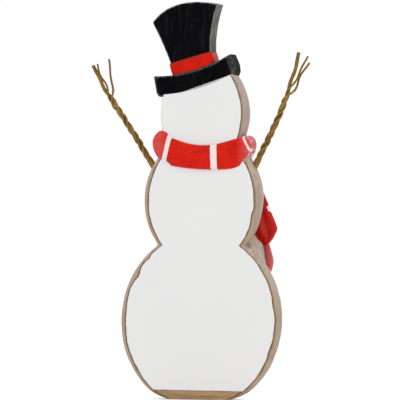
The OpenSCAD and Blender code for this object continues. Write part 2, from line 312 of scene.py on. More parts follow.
@dataclass(frozen=True)
class BoardPaint:
    """White paint on the board, rubbed back to the wood along the edges and at the foot."""

    white: Colour = (0.715, 0.71, 0.705)
    wash: Colour = (0.345, 0.280, 0.240)
    line: Colour = (0.070, 0.036, 0.017)
    tones: WoodTones = WoodTones()

    def material(self) -> bpy.types.Material:
        """Builds the material from the board's stored rim, front, bore, wear and hollow shade, and painted
        top light.

        Returns:
            The finished material.
        """
        b = Bench("white_board_paint")
        wander = (b.grain(55.0, detail=3.0) - 0.5) * 2.4 + (b.grain(420.0, detail=2.0) - 0.5) * 1.3
        rim = b.reading("rim") + wander
        front = b.reading("front") + (b.grain(70.0, detail=5.0) - 0.5) * 7.0
        foot = b.height() / MM + (b.grain(60.0, (1.0, 1.0, 0.4), 3.0) - 0.5) * 1.6
        wear_and_hollow_shade = b.reading("wear_and_hollow_shade")

        level = self.tones.colour(b, (0.07, 1.0, 1.0))
        level_tint = b.grain(30.0, (0.2, 1.0, 1.0), 3.0).step(0.2, 0.6)
        level = b.mix(level_tint * 0.40, level, (0.21, 0.115, 0.066))
        wood = b.mix(foot.step(10.8, 11.8), level, self.tones.colour(b))
        streaks = b.grain(260.0, (1.0, 1.0, 0.12), 4.0, 0.3)
        washed = b.mix(streaks.step(0.30, 0.62) * 0.38 + 0.55, wood, self.wash)
        browned = b.mix(rim.step(4.2, 2.6) * foot.step(9.0, 12.0) * 0.60, wood, (0.20, 0.115, 0.058))
        side = b.mix(rim.step(3.6, 5.2) * foot.step(9.0, 14.0) * 0.95, browned, washed)
        # painted highlight: the whitewash streaks turn paler on the sides that face up, as if lit from above
        rubbed = b.mix(b.reading("painted_top_light") * streaks.step(0.40, 0.60) * 0.55, side, (0.58, 0.51, 0.46))
        lined = b.mix(rim.step(2.4, 1.2) * rim.step(-1.6, -0.6) * 0.90, rubbed, self.line)

        back_white = rim.step(0.75, 0.15) * foot.step(11.0, 11.8)
        front_white = front.step(0.5, 2.5) * foot.step(3.0, 4.5)
        scuffs = b.grain(160.0, (1.0, 1.0, 0.5), 6.0, 0.6).step(0.735, 0.77)
        painted = (back_white + front_white).step(0.0, 1.0) * (1.0 - scuffs * b.reading("near_edge"))
        tint = b.grain(9.0, detail=2.0).step(0.3, 0.7)
        brush = b.grain(330.0, (1.0, 1.0, 0.05), 3.0)
        white = b.mix(tint * 0.35 + brush * 0.15, self.white, (0.675, 0.68, 0.685))
        edge_line = painted * (1.0 - painted) * 4.0
        surface = b.mix(painted, lined, white)
        surface = b.mix(edge_line * 0.85, surface, self.tones.dark)
        surface = b.mix(b.reading("bore"), surface, self.tones.deep)
        # darker in the board's hollows: partly the brown wash that gathers there, partly painted shade
        surface = b.mix(wear_and_hollow_shade.step(-0.15, -0.6) * 0.55 * (1.0 - painted * 0.6), surface, self.tones.dark)

        roughness = 0.62 - painted * 0.10 + (brush - 0.5) * 0.12
        relief = painted * 0.55 + brush * 0.10 + streaks * (1.0 - painted) * 0.55
        return b.finish(surface, roughness, relief, 0.0004, 0.0, 0.3)


@dataclass(frozen=True)
class CarvedPaint:
    """Paint brushed over carved wood, rubbed on its edges, with painted shade in its hollows."""

    name: str
    paint: Colour
    shade: Colour
    rubbed: Colour
    dry_brush: float = 0.0
    edge_rub: float = 0.5
    gloss: float = 0.42
    coat: float = 0.15
    along: Colour = (1.0, 1.0, 0.10)
    stripe: Colour = (0.76, 0.73, 0.73)
    # painted highlight: the pale pink of a sheen on the paint
    painted_sheen: Colour = (0.80, 0.46, 0.43)
    face_brush: float = 0.30
    shine: float = 0.12
    side_tint: float = 0.0

    def material(self) -> bpy.types.Material:
        """Builds the material from the piece's stored wear and hollow shade, side, stripe and painted sheen.

        Returns:
            The finished material.
        """
        b = Bench(self.name)
        brush = b.grain(420.0, self.along, 4.0, 0.3)
        mottle = b.grain(38.0, detail=4.0, twist=0.4)
        wear_and_hollow_shade = b.reading("wear_and_hollow_shade") + (b.grain(230.0, detail=4.0) - 0.5) * 0.9
        side = b.reading("side")

        base = b.mix(mottle.step(0.30, 0.68) * 0.6 + brush.step(0.35, 0.65) * 0.25, self.shade, self.paint)
        # painted shade in the hollows
        hollow_shade = wear_and_hollow_shade.step(-0.05, -0.75)
        base = b.mix(hollow_shade * 0.75, base, tuple(c * 0.30 for c in self.shade))
        stripe = (b.reading("stripe") + (b.grain(240.0, detail=3.0) - 0.5) * 0.35).step(0.42, 0.58)
        base = b.mix(stripe * 0.93, base, self.stripe)
        # painted highlight and painted sheen, where the piece stores them
        base = b.mix(b.reading("painted_sheen") * (0.55 + brush * 0.5), base, self.painted_sheen)
        streaks = brush.step(0.47, 0.66) * (self.face_brush + side * (1.0 - self.face_brush)) * self.dry_brush
        base = b.mix(streaks, base, self.rubbed)
        rub = wear_and_hollow_shade.step(0.42, 1.05) * self.edge_rub * brush.step(0.25, 0.55)
        base = b.mix(rub, base, self.rubbed)
        # sideways-facing surfaces, the crown's top among them, mixed towards the rubbed colour
        base = b.mix(side * self.side_tint, base, self.rubbed)

        roughness = self.gloss + (mottle - 0.5) * 0.22 + rub * 0.25 + streaks * 0.2
        relief = brush * 0.5 + b.grain(120.0, detail=3.0) * 0.7 + stripe * 0.25
        return b.finish(base, roughness, relief, 0.00045, self.coat, self.shine)


@dataclass(frozen=True)
class VineBark:
    """The golden-brown bark of dried vines, ridged along its length."""

    light: Colour = (0.31, 0.175, 0.042)
    mid: Colour = (0.155, 0.080, 0.017)
    dark: Colour = (0.035, 0.016, 0.006)
    cut: Colour = (0.13, 0.10, 0.08)

    def material(self) -> bpy.types.Material:
        """Builds the material from the vine's stored route, cut and painted shade where the vines twist
        together.

        Returns:
            The finished material.
        """
        b = Bench("vine_bark")
        route = b.stored_place("route")
        ridges = b.grain(900.0, (1.0, 1.0, 0.10), 4.0, 0.5, route)
        patches = b.grain(75.0, (1.0, 1.0, 0.6), 4.0, 0.2, route)
        fibres = b.grain(2600.0, (1.0, 1.0, 0.05), 2.0, 0.0, route)
        cracks = b.grain(520.0, (1.0, 1.0, 0.16), 5.0, 0.8, route).step(0.56, 0.70)
        base = b.mix(patches.step(0.32, 0.66) * 0.65 + ridges.step(0.35, 0.68) * 0.35, self.mid, self.light)
        base = b.mix(cracks * 0.75, base, self.dark)
        base = b.mix(fibres.step(0.5, 0.75) * 0.25, base, (0.40, 0.27, 0.12))
        # painted shade on the side of each vine that faces the others
        base = b.mix(b.reading("hollow_shade") * 0.60, base, self.dark)
        base = b.mix(b.reading("cut") * 0.85, base, self.cut)
        base = b.mix(b.reading("whittled") * 0.85, base, (0.46, 0.30, 0.15))
        roughness = 0.55 + ridges * 0.3
        relief = ridges * 0.7 + fibres * 0.3 - cracks * 0.6
        return b.finish(base, roughness, relief, 0.0005, 0.0, 0.06)


@dataclass(frozen=True)
class PlainWood:
    """Unpainted turned wood, as on the dowels."""

    tones: WoodTones = WoodTones()

    def material(self) -> bpy.types.Material:
        """Gives the grained wood its finish.

        Returns:
            The finished material.
        """
        b = Bench("bare_dowel_wood")
        colour, fibres = self.tones.colour(b), b.grain(700.0, (1.0, 1.0, 0.1))
        return b.finish(colour, 0.7 - b.grain(40.0) * 0.1, fibres, 0.0003)


@dataclass(frozen=True)
class BradSteel:
    """Drawn steel wire with a dull skin."""

    bright: Colour = (0.62, 0.62, 0.63)
    dull: Colour = (0.30, 0.28, 0.26)

    def material(self) -> bpy.types.Material:
        """Gives the wire its drawn lines and its spots of tarnish.

        Returns:
            The finished material.
        """
        b = Bench("drawn_brad_steel")
        drawn = b.grain(2500.0, (1.0, 0.05, 1.0), 2.0)
        tarnish = b.grain(600.0, detail=4.0).step(0.45, 0.7)
        b.shader.inputs["Metallic"].default_value = 1.0
        return b.finish(b.mix(tarnish * 0.7, self.bright, self.dull), 0.3 + tarnish * 0.3, drawn, 0.0001)


@dataclass(frozen=True)
class FloorPaper:
    """The pale paper that the figure stands on."""

    pale: Colour = (0.90, 0.90, 0.90)
    glow: float = 0.15

    def material(self) -> bpy.types.Material:
        """Gives the paper a faint tooth, and lifts it to a clean pale tone.

        Returns:
            The finished material.
        """
        b = Bench("pale_floor_paper")
        tooth = b.grain(40.0, detail=6.0)
        b.shader.inputs["Emission Color"].default_value = (1.0, 1.0, 1.0, 1.0)
        b.shader.inputs["Emission Strength"].default_value = self.glow
        return b.finish(self.pale, 0.9 - tooth * 0.1, tooth, 0.0002)


# ---- mesh tools ----


@dataclass
class Shape:
    """A closed form in millimetres, before it becomes a mesh."""

    points: np.ndarray
    faces: list[tuple[int, ...]]

    def piece(self, name: str) -> bpy.types.Object:
        """Makes a mesh object of the form, in metres, with its faces turned outwards.

        Args:
            name: the piece's name.

        Returns:
            The new object.
        """
        mesh = bpy.data.meshes.new(name)
        mesh.from_pydata((self.points * MM).tolist(), [], self.faces)
        work = bmesh.new()
        work.from_mesh(mesh)
        bmesh.ops.remove_doubles(work, verts=work.verts, dist=1e-6)
        bmesh.ops.recalc_face_normals(work, faces=work.faces)
        work.to_mesh(mesh)
        work.free()
        obj = bpy.data.objects.new(name, mesh)
        bpy.context.scene.collection.objects.link(obj)
        return obj


def loft(rings: np.ndarray) -> Shape:
    """Joins rings of equal length into a closed form.

    Args:
        rings: an array of rings, points and coordinates.

    Returns:
        The form, with a flat cap on each end.
    """
    count, size = rings.shape[:2]
    faces: list[tuple[int, ...]] = [tuple(range(size)), tuple(range((count - 1) * size, count * size))]
    for k in range(count - 1):
        for i in range(size):
            j = (i + 1) % size
            faces.append((k * size + i, k * size + j, (k + 1) * size + j, (k + 1) * size + i))
    return Shape(rings.reshape(-1, 3), faces)


def slab(outline: np.ndarray, depth: float) -> Shape:
    """Gives an upright outline, in x and z, a depth along y."""
    x, z = outline.T
    return loft(np.array([np.column_stack([x, np.full(len(x), y), z]) for y in (depth / 2, -depth / 2)]))


def points_of(obj: bpy.types.Object) -> np.ndarray:
    """Gives a piece's points in millimetres.

    Args:
        obj: the piece.

    Returns:
        One row of x, y and z for each point.
    """
    flat = np.zeros(len(obj.data.vertices) * 3)
    obj.data.vertices.foreach_get("co", flat)
    return flat.reshape(-1, 3) / MM


def normals_of(obj: bpy.types.Object) -> np.ndarray:
    """Gives the outward direction at each point of a piece.

    Args:
        obj: the piece.

    Returns:
        One direction for each point.
    """
    flat = np.zeros(len(obj.data.vertices) * 3)
    obj.data.vertex_normals.foreach_get("vector", flat)
    return flat.reshape(-1, 3)


def move_points(obj: bpy.types.Object, points: np.ndarray) -> None:
    """Puts a piece's points at new places, given in millimetres."""
    obj.data.vertices.foreach_set("co", (points * MM).ravel())
    obj.data.update()


def store(obj: bpy.types.Object, name: str, values: np.ndarray) -> None:
    """Stores one number, or one vector, for each point of a piece.

    Args:
        obj: the piece.
        name: what the material calls it.
        values: one value for each point.
    """
    kind, key = ("FLOAT_VECTOR", "vector") if values.ndim == 2 else ("FLOAT", "value")
    layer = obj.data.attributes.get(name) or obj.data.attributes.new(name, kind, "POINT")
    layer.data.foreach_set(key, values.astype(np.float32).ravel())


def lumps(points: np.ndarray, size: float, seed: float, stretch: Colour = (1.0, 1.0, 1.0)) -> np.ndarray:
    """Gives a soft random number from -1 to 1 for each point.

    Args:
        points: places in millimetres.
        size: how wide a lump is, in millimetres.
        seed: picks another pattern.
        stretch: how much longer a lump is along each axis.

    Returns:
        One number for each point.
    """
    places = points / (size * np.array(stretch)) + seed * 7.31
    return np.array([noise.noise(Vector(p)) for p in places])


def waves(points: np.ndarray, layers: Waves) -> np.ndarray:
    """Adds up layers of lumps, each given as its width, its seed and its depth."""
    return sum(lumps(points, width, seed) * depth for width, seed, depth in layers)


def settled(obj: bpy.types.Object) -> bpy.types.Object:
    """Applies a piece's modifiers for good.

    Args:
        obj: the piece.

    Returns:
        The same object with its new mesh.
    """
    graph = bpy.context.evaluated_depsgraph_get()
    mesh = bpy.data.meshes.new_from_object(obj.evaluated_get(graph))
    mesh.name = obj.name
    obj.modifiers.clear()
    obj.data = mesh
    return obj


def carved(obj: bpy.types.Object, chip: float, rounds: int) -> bpy.types.Object:
    """Turns a crisp block into an even skin with hand-eased edges.

    Args:
        obj: the block.
        chip: the size of the skin's squares in millimetres.
        rounds: how often the edges are eased.

    Returns:
        The same object with its new mesh.
    """
    skin = obj.modifiers.new("skin", "REMESH")
    skin.mode = "VOXEL"
    skin.voxel_size = chip * MM
    ease = obj.modifiers.new("ease", "SMOOTH")
    ease.factor = 0.5
    ease.iterations = rounds
    return settled(obj)


def hand_cut(obj: bpy.types.Object, depth: float, size: float, seed: float,
             stretch: Colour = (1.0, 1.0, 1.0)) -> None:
    """Gives a carved surface the low waves that a knife leaves.

    Args:
        obj: the piece.
        depth: how deep the waves are, in millimetres.
        size: how wide they are, in millimetres.
        seed: picks another pattern.
        stretch: how much longer a wave is along each axis.
    """
    points, normals = points_of(obj), normals_of(obj)
    wave = lumps(points, size, seed, stretch) * 0.7 + lumps(points, size * 0.35, seed + 3.0, stretch) * 0.3
    move_points(obj, points + normals * (wave * depth)[:, None])


def store_wear_and_hollow_shade(obj: bpy.types.Object, blur: int = 3, gain: float = 9.0) -> None:
    """Finds the edges and hollows of a piece and stores them together, the edges for wear and the hollows for
    painted shade, and how far each point faces sideways.

    Args:
        obj: the piece.
        blur: how far an edge's wear spreads, in rounds.
        gain: how strong it is.
    """
    mesh = obj.data
    pairs = np.zeros(len(mesh.edges) * 2, dtype=np.int64)
    mesh.edges.foreach_get("vertices", pairs)
    a, b = pairs.reshape(-1, 2).T
    points, normals = points_of(obj), normals_of(obj)
    count = np.maximum(np.bincount(np.concatenate([a, b]), minlength=len(points)), 1)

    def around(values: np.ndarray) -> np.ndarray:
        """Gives the mean of each point's neighbours.

        Args:
            values: a number or a vector for each point.

        Returns:
            The means, in the same order.
        """
        total = np.zeros_like(values)
        np.add.at(total, a, values[b])
        np.add.at(total, b, values[a])
        return total / (count if values.ndim == 1 else count[:, None])

    spacing = np.linalg.norm(points[a] - points[b], axis=1).mean()
    bulge = ((points - around(points)) * normals).sum(axis=1) / spacing
    for _ in range(blur):
        bulge = bulge * 0.4 + around(bulge) * 0.6
    store(obj, "wear_and_hollow_shade", np.clip(bulge * gain, -1.0, 1.2))
    store(obj, "side", 1.0 - np.abs(normals[:, 1]))


def depth_of(node: str) -> float:
    """Gives how deep a CAD node is along y, in millimetres."""
    low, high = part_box(node)
    return (high - low).y / MM


def bow(p: np.ndarray, q: np.ndarray, r: np.ndarray, t: np.ndarray) -> np.ndarray:
    """Gives points on a quadratic curve at the shares t."""
    t = np.asarray(t)[..., None]
    return p * (1 - t) ** 2 + q * 2 * t * (1 - t) + r * t * t


def turned(profile: Profile, steps: int, sides: int) -> np.ndarray:
    """Gives the rings of a form turned about +Z.

    Args:
        profile: gives the radius and the height for shares from 0 to 1.
        steps: how many rings there are.
        sides: how many points a ring has.

    Returns:
        An array of rings.
    """
    radius, height = profile(np.linspace(0.0, 1.0, steps))
    angle = np.linspace(0.0, 2 * math.pi, sides, endpoint=False)
    rings = np.zeros((steps, sides, 3))
    rings[..., 0] = radius[:, None] * np.cos(angle)
    rings[..., 1] = radius[:, None] * np.sin(angle)
    rings[..., 2] = height[:, None]
    return rings


def dressed(obj: bpy.types.Object, material: bpy.types.Material, body: Body, slot: Slot, *nodes: str,
            crease: float = 40.0) -> bpy.types.Object:
    """Gives a piece its finish and its body, hides the CAD nodes that it stands for, and reports it.

    Args:
        obj: the piece.
        material: its finish.
        body: what it moves with.
        slot: not used.
        nodes: the CAD nodes that it replaces.
        crease: the angle in degrees above which an edge stays sharp.

    Returns:
        The same object.
    """
    low, high = (np.array(corner) / MM for corner in CAD_BOX)
    move_points(obj, np.clip(points_of(obj), low, high))
    obj.data.materials.clear()
    obj.data.materials.append(material)
    obj.data.polygons.foreach_set("use_smooth", [True] * len(obj.data.polygons))
    obj.data.set_sharp_from_angle(angle=math.radians(crease))
    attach(obj, body.value)
    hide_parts(*nodes)
    LOG.info("%s: %d faces, moves with %s", obj.name, len(obj.data.polygons), body.value)
    return obj


# ---- the board ----


@dataclass(frozen=True)
class Ball:
    """One of the snowman's three balls, as the board's outline shows it."""

    z: float
    half_w: float
    half_h: float
    edge: float
    depth: float
    wall: float

    def share(self, z: np.ndarray, inset: float = 0.0) -> np.ndarray:
        """Gives the width of the ball at heights z as a share of its greatest width."""
        return np.sqrt(np.clip(1.0 - ((z - self.z) / (self.half_h - inset)) ** 2, 0.0, 1.0))


@dataclass(frozen=True)
class WornSpot:
    """A place where the edge is rubbed further back: its side, height, half length and depth."""

    side: int
    z: float
    reach: float
    depth: float


def soft_max(a: np.ndarray, b: np.ndarray, k: float) -> np.ndarray:
    """Gives the larger of two numbers, blended where they are within k of each other."""
    return np.maximum(a, b) + np.maximum(k - np.abs(a - b), 0.0) ** 2 / (4 * k)


@dataclass
class Board:
    """The three-ball board with its flat back, its worn edge and its domed front."""

    balls: tuple[Ball, ...] = (
        Ball(99.0, 104.0, 113.0, 8.0, 50.0, 0.15),
        Ball(250.0, 75.5, 84.5, 8.0, 46.0, 0.37),
        Ball(359.0, 54.5, 70.0, 3.8, 45.0, 0.78),
    )
    spots: tuple[WornSpot, ...] = (
        WornSpot(1, 156.0, 8.5, 3.6),
        WornSpot(1, 177.0, 4.0, 1.6),
        WornSpot(1, 40.0, 12.0, 1.4),
        WornSpot(-1, 120.0, 14.0, 1.5),
        WornSpot(-1, 232.0, 9.0, 1.6),
        WornSpot(-1, 60.0, 6.0, 1.2),
    )
    ragged: Waves = ((17.0, 2.0, 0.55), (5.0, 5.0, 0.30))
    outline_sway: Waves = ((26.0, 9.0, 0.5),)
    carving: Waves = ((24.0, 1.0, 0.45), (9.0, 4.0, 0.16))
    carved_over: float = 6.0
    back_rows: tuple[float, ...] = (0.0, 0.2, 0.4, 0.6, 0.76, 0.88)
    back_insets: tuple[float, ...] = (3.0, 1.2, 0.0)
    edge_turns: tuple[float, ...] = (14.0, 28.0, 42.0, 56.0, 70.0, 82.0, 90.0)
    wall_rows: tuple[float, ...] = (0.25, 0.5, 0.75, 0.93)
    dome_rows: int = 34
    row_gap: float = 0.02
    dome_gap: float = 0.03
    rim_share: float = 0.55
    waist_blend: float = 5.0
    edge_rise: float = 0.4
    edge_depth: float = 9.0
    dome_power: float = 0.8
    foot_round: float = 14.0
    foot_cut: float = 0.28
    foot_h: float = 50.0
    sway_x: tuple[float, ...] = (3.0, 0.6, -1.2, -1.8)
    top: float = 412.0
    step: float = 2.0
    head_wrap: float = 5.5
    wrap_from: float = 326.0
    wrap_over: float = 12.0
    wrap_side: float = 10.0
    web: tuple[tuple[float, float], ...] = (
        (165, 79), (172, 78.5), (179, 77), (187, 76), (194, 75), (198, 71), (203, 66.5), (210, 62))
    web_lap: float = 3.0
    web_rear: float = 15.0
    web_full: float = -4.0
    web_front: float = -13.0
    web_ease: float = 12.0
    web_bare_x: float = -52.0
    unpainted: float = 40.0
    back_y: float = field(default_factory=lambda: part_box("body_board")[1].y / MM)

    def sway(self, z: np.ndarray) -> np.ndarray:
        """Gives how far the board stands off to the figure's left at each height."""
        return np.interp(z, (0.0, *(ball.z for ball in self.balls)), self.sway_x)

    def over_balls(self, values: list[np.ndarray], blend: float) -> np.ndarray:
        """Blends one number for each ball into one."""
        return soft_max(soft_max(values[0], values[1], blend), values[2], blend)

    def foot_in(self, z: np.ndarray) -> np.ndarray:
        """Gives how far the base's rounded corner comes in."""
        rise = np.clip(self.foot_round - z, 0.0, self.foot_round)
        return self.foot_round - np.sqrt(self.foot_round**2 - rise**2)

    def outer(self, z: np.ndarray) -> np.ndarray:
        """Gives the board's half width."""
        widths = [ball.half_w * ball.share(z) for ball in self.balls]
        return self.over_balls(widths, self.waist_blend) - self.foot_in(z)

    def flat(self, z: np.ndarray) -> np.ndarray:
        """Gives the half width of the flat back."""
        widths = [(b.half_w - b.edge) * b.share(z, b.edge * self.edge_rise) for b in self.balls]
        return np.max(widths, axis=0) - self.foot_in(z) * 0.6

    def depth(self, z: np.ndarray) -> np.ndarray:
        """Gives the board's thickness at its middle line.

        Args:
            z: the heights.

        Returns:
            One thickness for each height.
        """
        values = [b.depth * (self.rim_share + (1 - self.rim_share) * b.share(z)) * np.sign(b.share(z))
                  for b in self.balls]
        thin = 1.0 - self.foot_cut * np.clip(1.0 - z / self.foot_h, 0.0, 1.0) ** 2
        return self.over_balls(values, self.waist_blend / 2) * thin

    def wall(self, z: np.ndarray) -> np.ndarray:
        """Gives how deep the straight part of the side is."""
        return np.interp(z, [b.z for b in self.balls], [b.wall for b in self.balls]) * self.depth(z)

    def front_y(self, x: float, z: float) -> float:
        """Gives the y of the domed front at a place on the face.

        Args:
            x: its distance to the figure's left.
            z: its height.

        Returns:
            The y in millimetres.
        """
        zz = np.array([z])
        w, t, wall = self.outer(zz)[0], self.depth(zz)[0], self.wall(zz)[0]
        q = min(abs(x - self.sway(zz)[0]) / w, 1.0)
        return self.back_y - wall - (t - wall) * (1 - q ** (2 / self.dome_power)) ** (self.dome_power / 2)

    def front_frame(self, x: float, z: float) -> tuple[np.ndarray, np.ndarray]:
        """Gives the place on the domed front at x and z, and a turn whose last column points outwards.

        Args:
            x: its distance to the figure's left.
            z: its height.

        Returns:
            The place and the turn.
        """
        dx = (self.front_y(x + 1, z) - self.front_y(x - 1, z)) / 2
        dz = (self.front_y(x, z + 1) - self.front_y(x, z - 1)) / 2
        out = Vector((dx, -1.0, dz)).normalized()
        turn = np.array(out.to_track_quat("Z", "Y").to_matrix())
        return np.array([x, self.front_y(x, z), z]), turn

    def worn_in(self, z: np.ndarray, side: int) -> np.ndarray:
        """Gives how far the edge of the flat back is rubbed in on one side.

        Args:
            z: the heights.
            side: 1 for the figure's left and -1 for its right.

        Returns:
            One distance for each height.
        """
        line = np.column_stack([z, np.full_like(z, 40.0 * side), np.zeros_like(z)])
        total = waves(line, self.ragged)
        for spot in self.spots:
            if spot.side == side:
                total = total + spot.depth * np.exp(-(((z - spot.z) / spot.reach) ** 2) * 1.6)
        return total

    def web_reach(self, z: np.ndarray, y: np.ndarray) -> np.ndarray:
        """Gives how far out the wood in the right side of the waist stands, behind the scarf's tails.

        Args:
            z: the heights.
            y: how far back each point is.

        Returns:
            A distance from the middle line, or nothing much where there is no such wood.
        """
        heights, reaches = zip(*self.web)
        reach = np.interp(z, heights, reaches) + self.sway(z)
        edge = self.outer(z) - self.web_lap
        grown = np.clip((self.web_rear - y) / (self.web_rear - self.web_full), 0.0, 1.0)
        rear = edge + (reach - edge) * grown
        past = np.clip((self.web_full - y) / (self.web_full - self.web_front), 0.0, 1.0)
        inside = (z >= heights[0]) & (z <= heights[-1]) & (y > self.web_front)
        return np.where(inside, np.where(y > self.web_full, rear, reach - self.web_ease * past), 0.0)

    def half(self, z: np.ndarray, side: int) -> tuple[np.ndarray, np.ndarray]:
        """Gives half of every cross-section, from the middle of the back round to the middle of the front.

        Args:
            z: the heights of the cross-sections.
            side: 1 for the figure's left and -1 for its right.

        Returns:
            The distances from the middle line and the y values, a row for each height.
        """
        w, t, wall = self.outer(z), self.depth(z), self.wall(z)
        line = np.column_stack([z, np.full_like(z, 90.0 * side), np.zeros_like(z)])
        w = w + waves(line, self.outline_sway)
        edge = np.maximum(self.flat(z) - self.worn_in(z, side), 4.0)
        round_in = np.minimum(self.edge_depth, wall)
        columns: list[tuple[np.ndarray, np.ndarray]] = []
        for share in self.back_rows:
            columns.append((edge * share, np.full_like(z, self.back_y)))
        for inset in self.back_insets:
            columns.append((edge - inset, np.full_like(z, self.back_y)))
        for angle in np.radians(self.edge_turns):
            columns.append((edge + (w - edge) * np.sin(angle), self.back_y - round_in * (1 - np.cos(angle))))
        for share in self.wall_rows:
            columns.append((w, self.back_y - round_in - (wall - round_in + self.row_gap) * share))
        for angle in np.radians(np.linspace(0, 90, self.dome_rows)):
            x = w * np.maximum(np.cos(angle), 0.0) ** self.dome_power
            y = self.back_y - wall - self.dome_gap - (t - wall) * np.sin(angle) ** self.dome_power
            columns.append((np.maximum(x, self.web_reach(z, y)) if side < 0 else x, y))
        xs, ys = np.array([c[0] for c in columns]).T, np.array([c[1] for c in columns]).T
        xs[:, -1] = 0.0
        return xs, ys

    def shape(self) -> Shape:
        """Builds the board's skin as a stack of cross-sections.

        Returns:
            The skin.
        """
        z = np.concatenate([[0.0, 0.6, 1.4, 2.6, 4.2, 6.0], np.arange(8.0, self.top, self.step)])
        left_x, left_y = self.half(z, 1)
        right_x, right_y = self.half(z, -1)
        x = np.hstack([left_x, -right_x[:, -2:0:-1]])
        y = np.hstack([left_y, right_y[:, -2:0:-1]])
        x = x + self.sway(z)[:, None]
        return loft(np.stack([x, y, np.repeat(z[:, None], x.shape[1], axis=1)], axis=2))

    def drilled(self, obj: bpy.types.Object, arms: Sequence["Arm"]) -> bpy.types.Object:
        """Drills the two sockets for the arms.

        Args:
            obj: the board.
            arms: the arms that go into it.

        Returns:
            The board with its sockets.
        """
        bits = []
        for arm in arms:
            bore = loft(turned(arm.bit_profile, 2, 48))
            bit = Shape(arm.placed(bore.points), bore.faces).piece("bit_" + arm.body.value)
            cut = obj.modifiers.new("drill", "BOOLEAN")
            cut.operation = "DIFFERENCE"
            cut.object = bit
            cut.solver = "EXACT"
            bits.append(bit)
        settled(obj)
        for bit in bits:
            bpy.data.objects.remove(bit)
        return obj

    def store_zones(self, obj: bpy.types.Object, arms: Sequence["Arm"]) -> None:
        """Stores how far each point is from the back's edge and the dome's edge, what lies in the bores, and
        how far it faces up for the painted top light.

        Args:
            obj: the board.
            arms: the arms whose sockets are bare inside.
        """
        points, normals = points_of(obj), normals_of(obj)
        x, y, z = points.T
        x = x - self.sway(z)
        edge = np.where(x > 0, self.flat(z) - self.worn_in(z, 1), self.flat(z) - self.worn_in(z, -1))
        rim = np.maximum(np.abs(x) - edge, 0.0) + (self.back_y - y)
        heights = np.arange(1.0, self.top, 1.5)
        for side in (1, -1):
            line = np.column_stack([side * (self.flat(heights) - self.worn_in(heights, side)), heights])
            near = np.where((self.back_y - y < 0.01) & (x * side >= 0))[0]
            for block in np.array_split(near, max(1, len(near) // 2000)):
                flat = np.column_stack([x[block], z[block]])
                gap = np.linalg.norm(flat[:, None] - line[None], axis=2).min(axis=1)
                inside = np.abs(x[block]) < edge[block] - 0.01
                rim[block] = np.where(inside, -gap, rim[block])
        upper = np.clip((z - self.wrap_from) / self.wrap_over, 0.0, 1.0)
        store(obj, "rim", rim - upper * np.clip(x / self.wrap_side, 0.0, 1.0) * self.head_wrap)
        low, high = self.web[0][0] - 1.0, self.web[-1][0] + 1.0
        bare = (points[:, 0] < self.web_bare_x) & (z > low) & (z < high) & (y > self.web_front - 1.0)
        store(obj, "front", (self.back_y - self.wall(z)) - y - bare * self.unpainted)
        store(obj, "near_edge", np.exp(-np.abs(rim) / 12.0))
        # painted top light: how far each point faces up
        store(obj, "painted_top_light", np.clip(normals[:, 2] * 1.6, 0.0, 1.0))
        store(obj, "bore", np.max([arm.in_socket(points) for arm in arms], axis=0))

    def build(self, hat: "Hat", arms: Sequence["Arm"]) -> None:
        """Makes and dresses the board.

        Args:
            hat: the hat whose seat the head is cut to.
            arms: the arms that the shoulders are drilled for.
        """
        obj = self.shape().piece("snowman_board")
        points, normals = points_of(obj), normals_of(obj)
        dome = np.clip(((self.back_y - self.wall(points[:, 2])) - points[:, 1]) / self.carved_over, 0.0, 1.0)
        wave = waves(points, self.carving)
        points = points + normals * (wave * dome)[:, None]
        points[:, 2] = np.maximum(points[:, 2], 0.0)
        move_points(obj, hat.under_brim(points))
        self.drilled(obj, arms)
        store_wear_and_hollow_shade(obj, 2, 5.0)
        self.store_zones(obj, arms)
        dressed(obj, BoardPaint().material(), Body.FIGURE, Slot.WHITE, "body_board", crease=32.0)


# ---- the hat ----


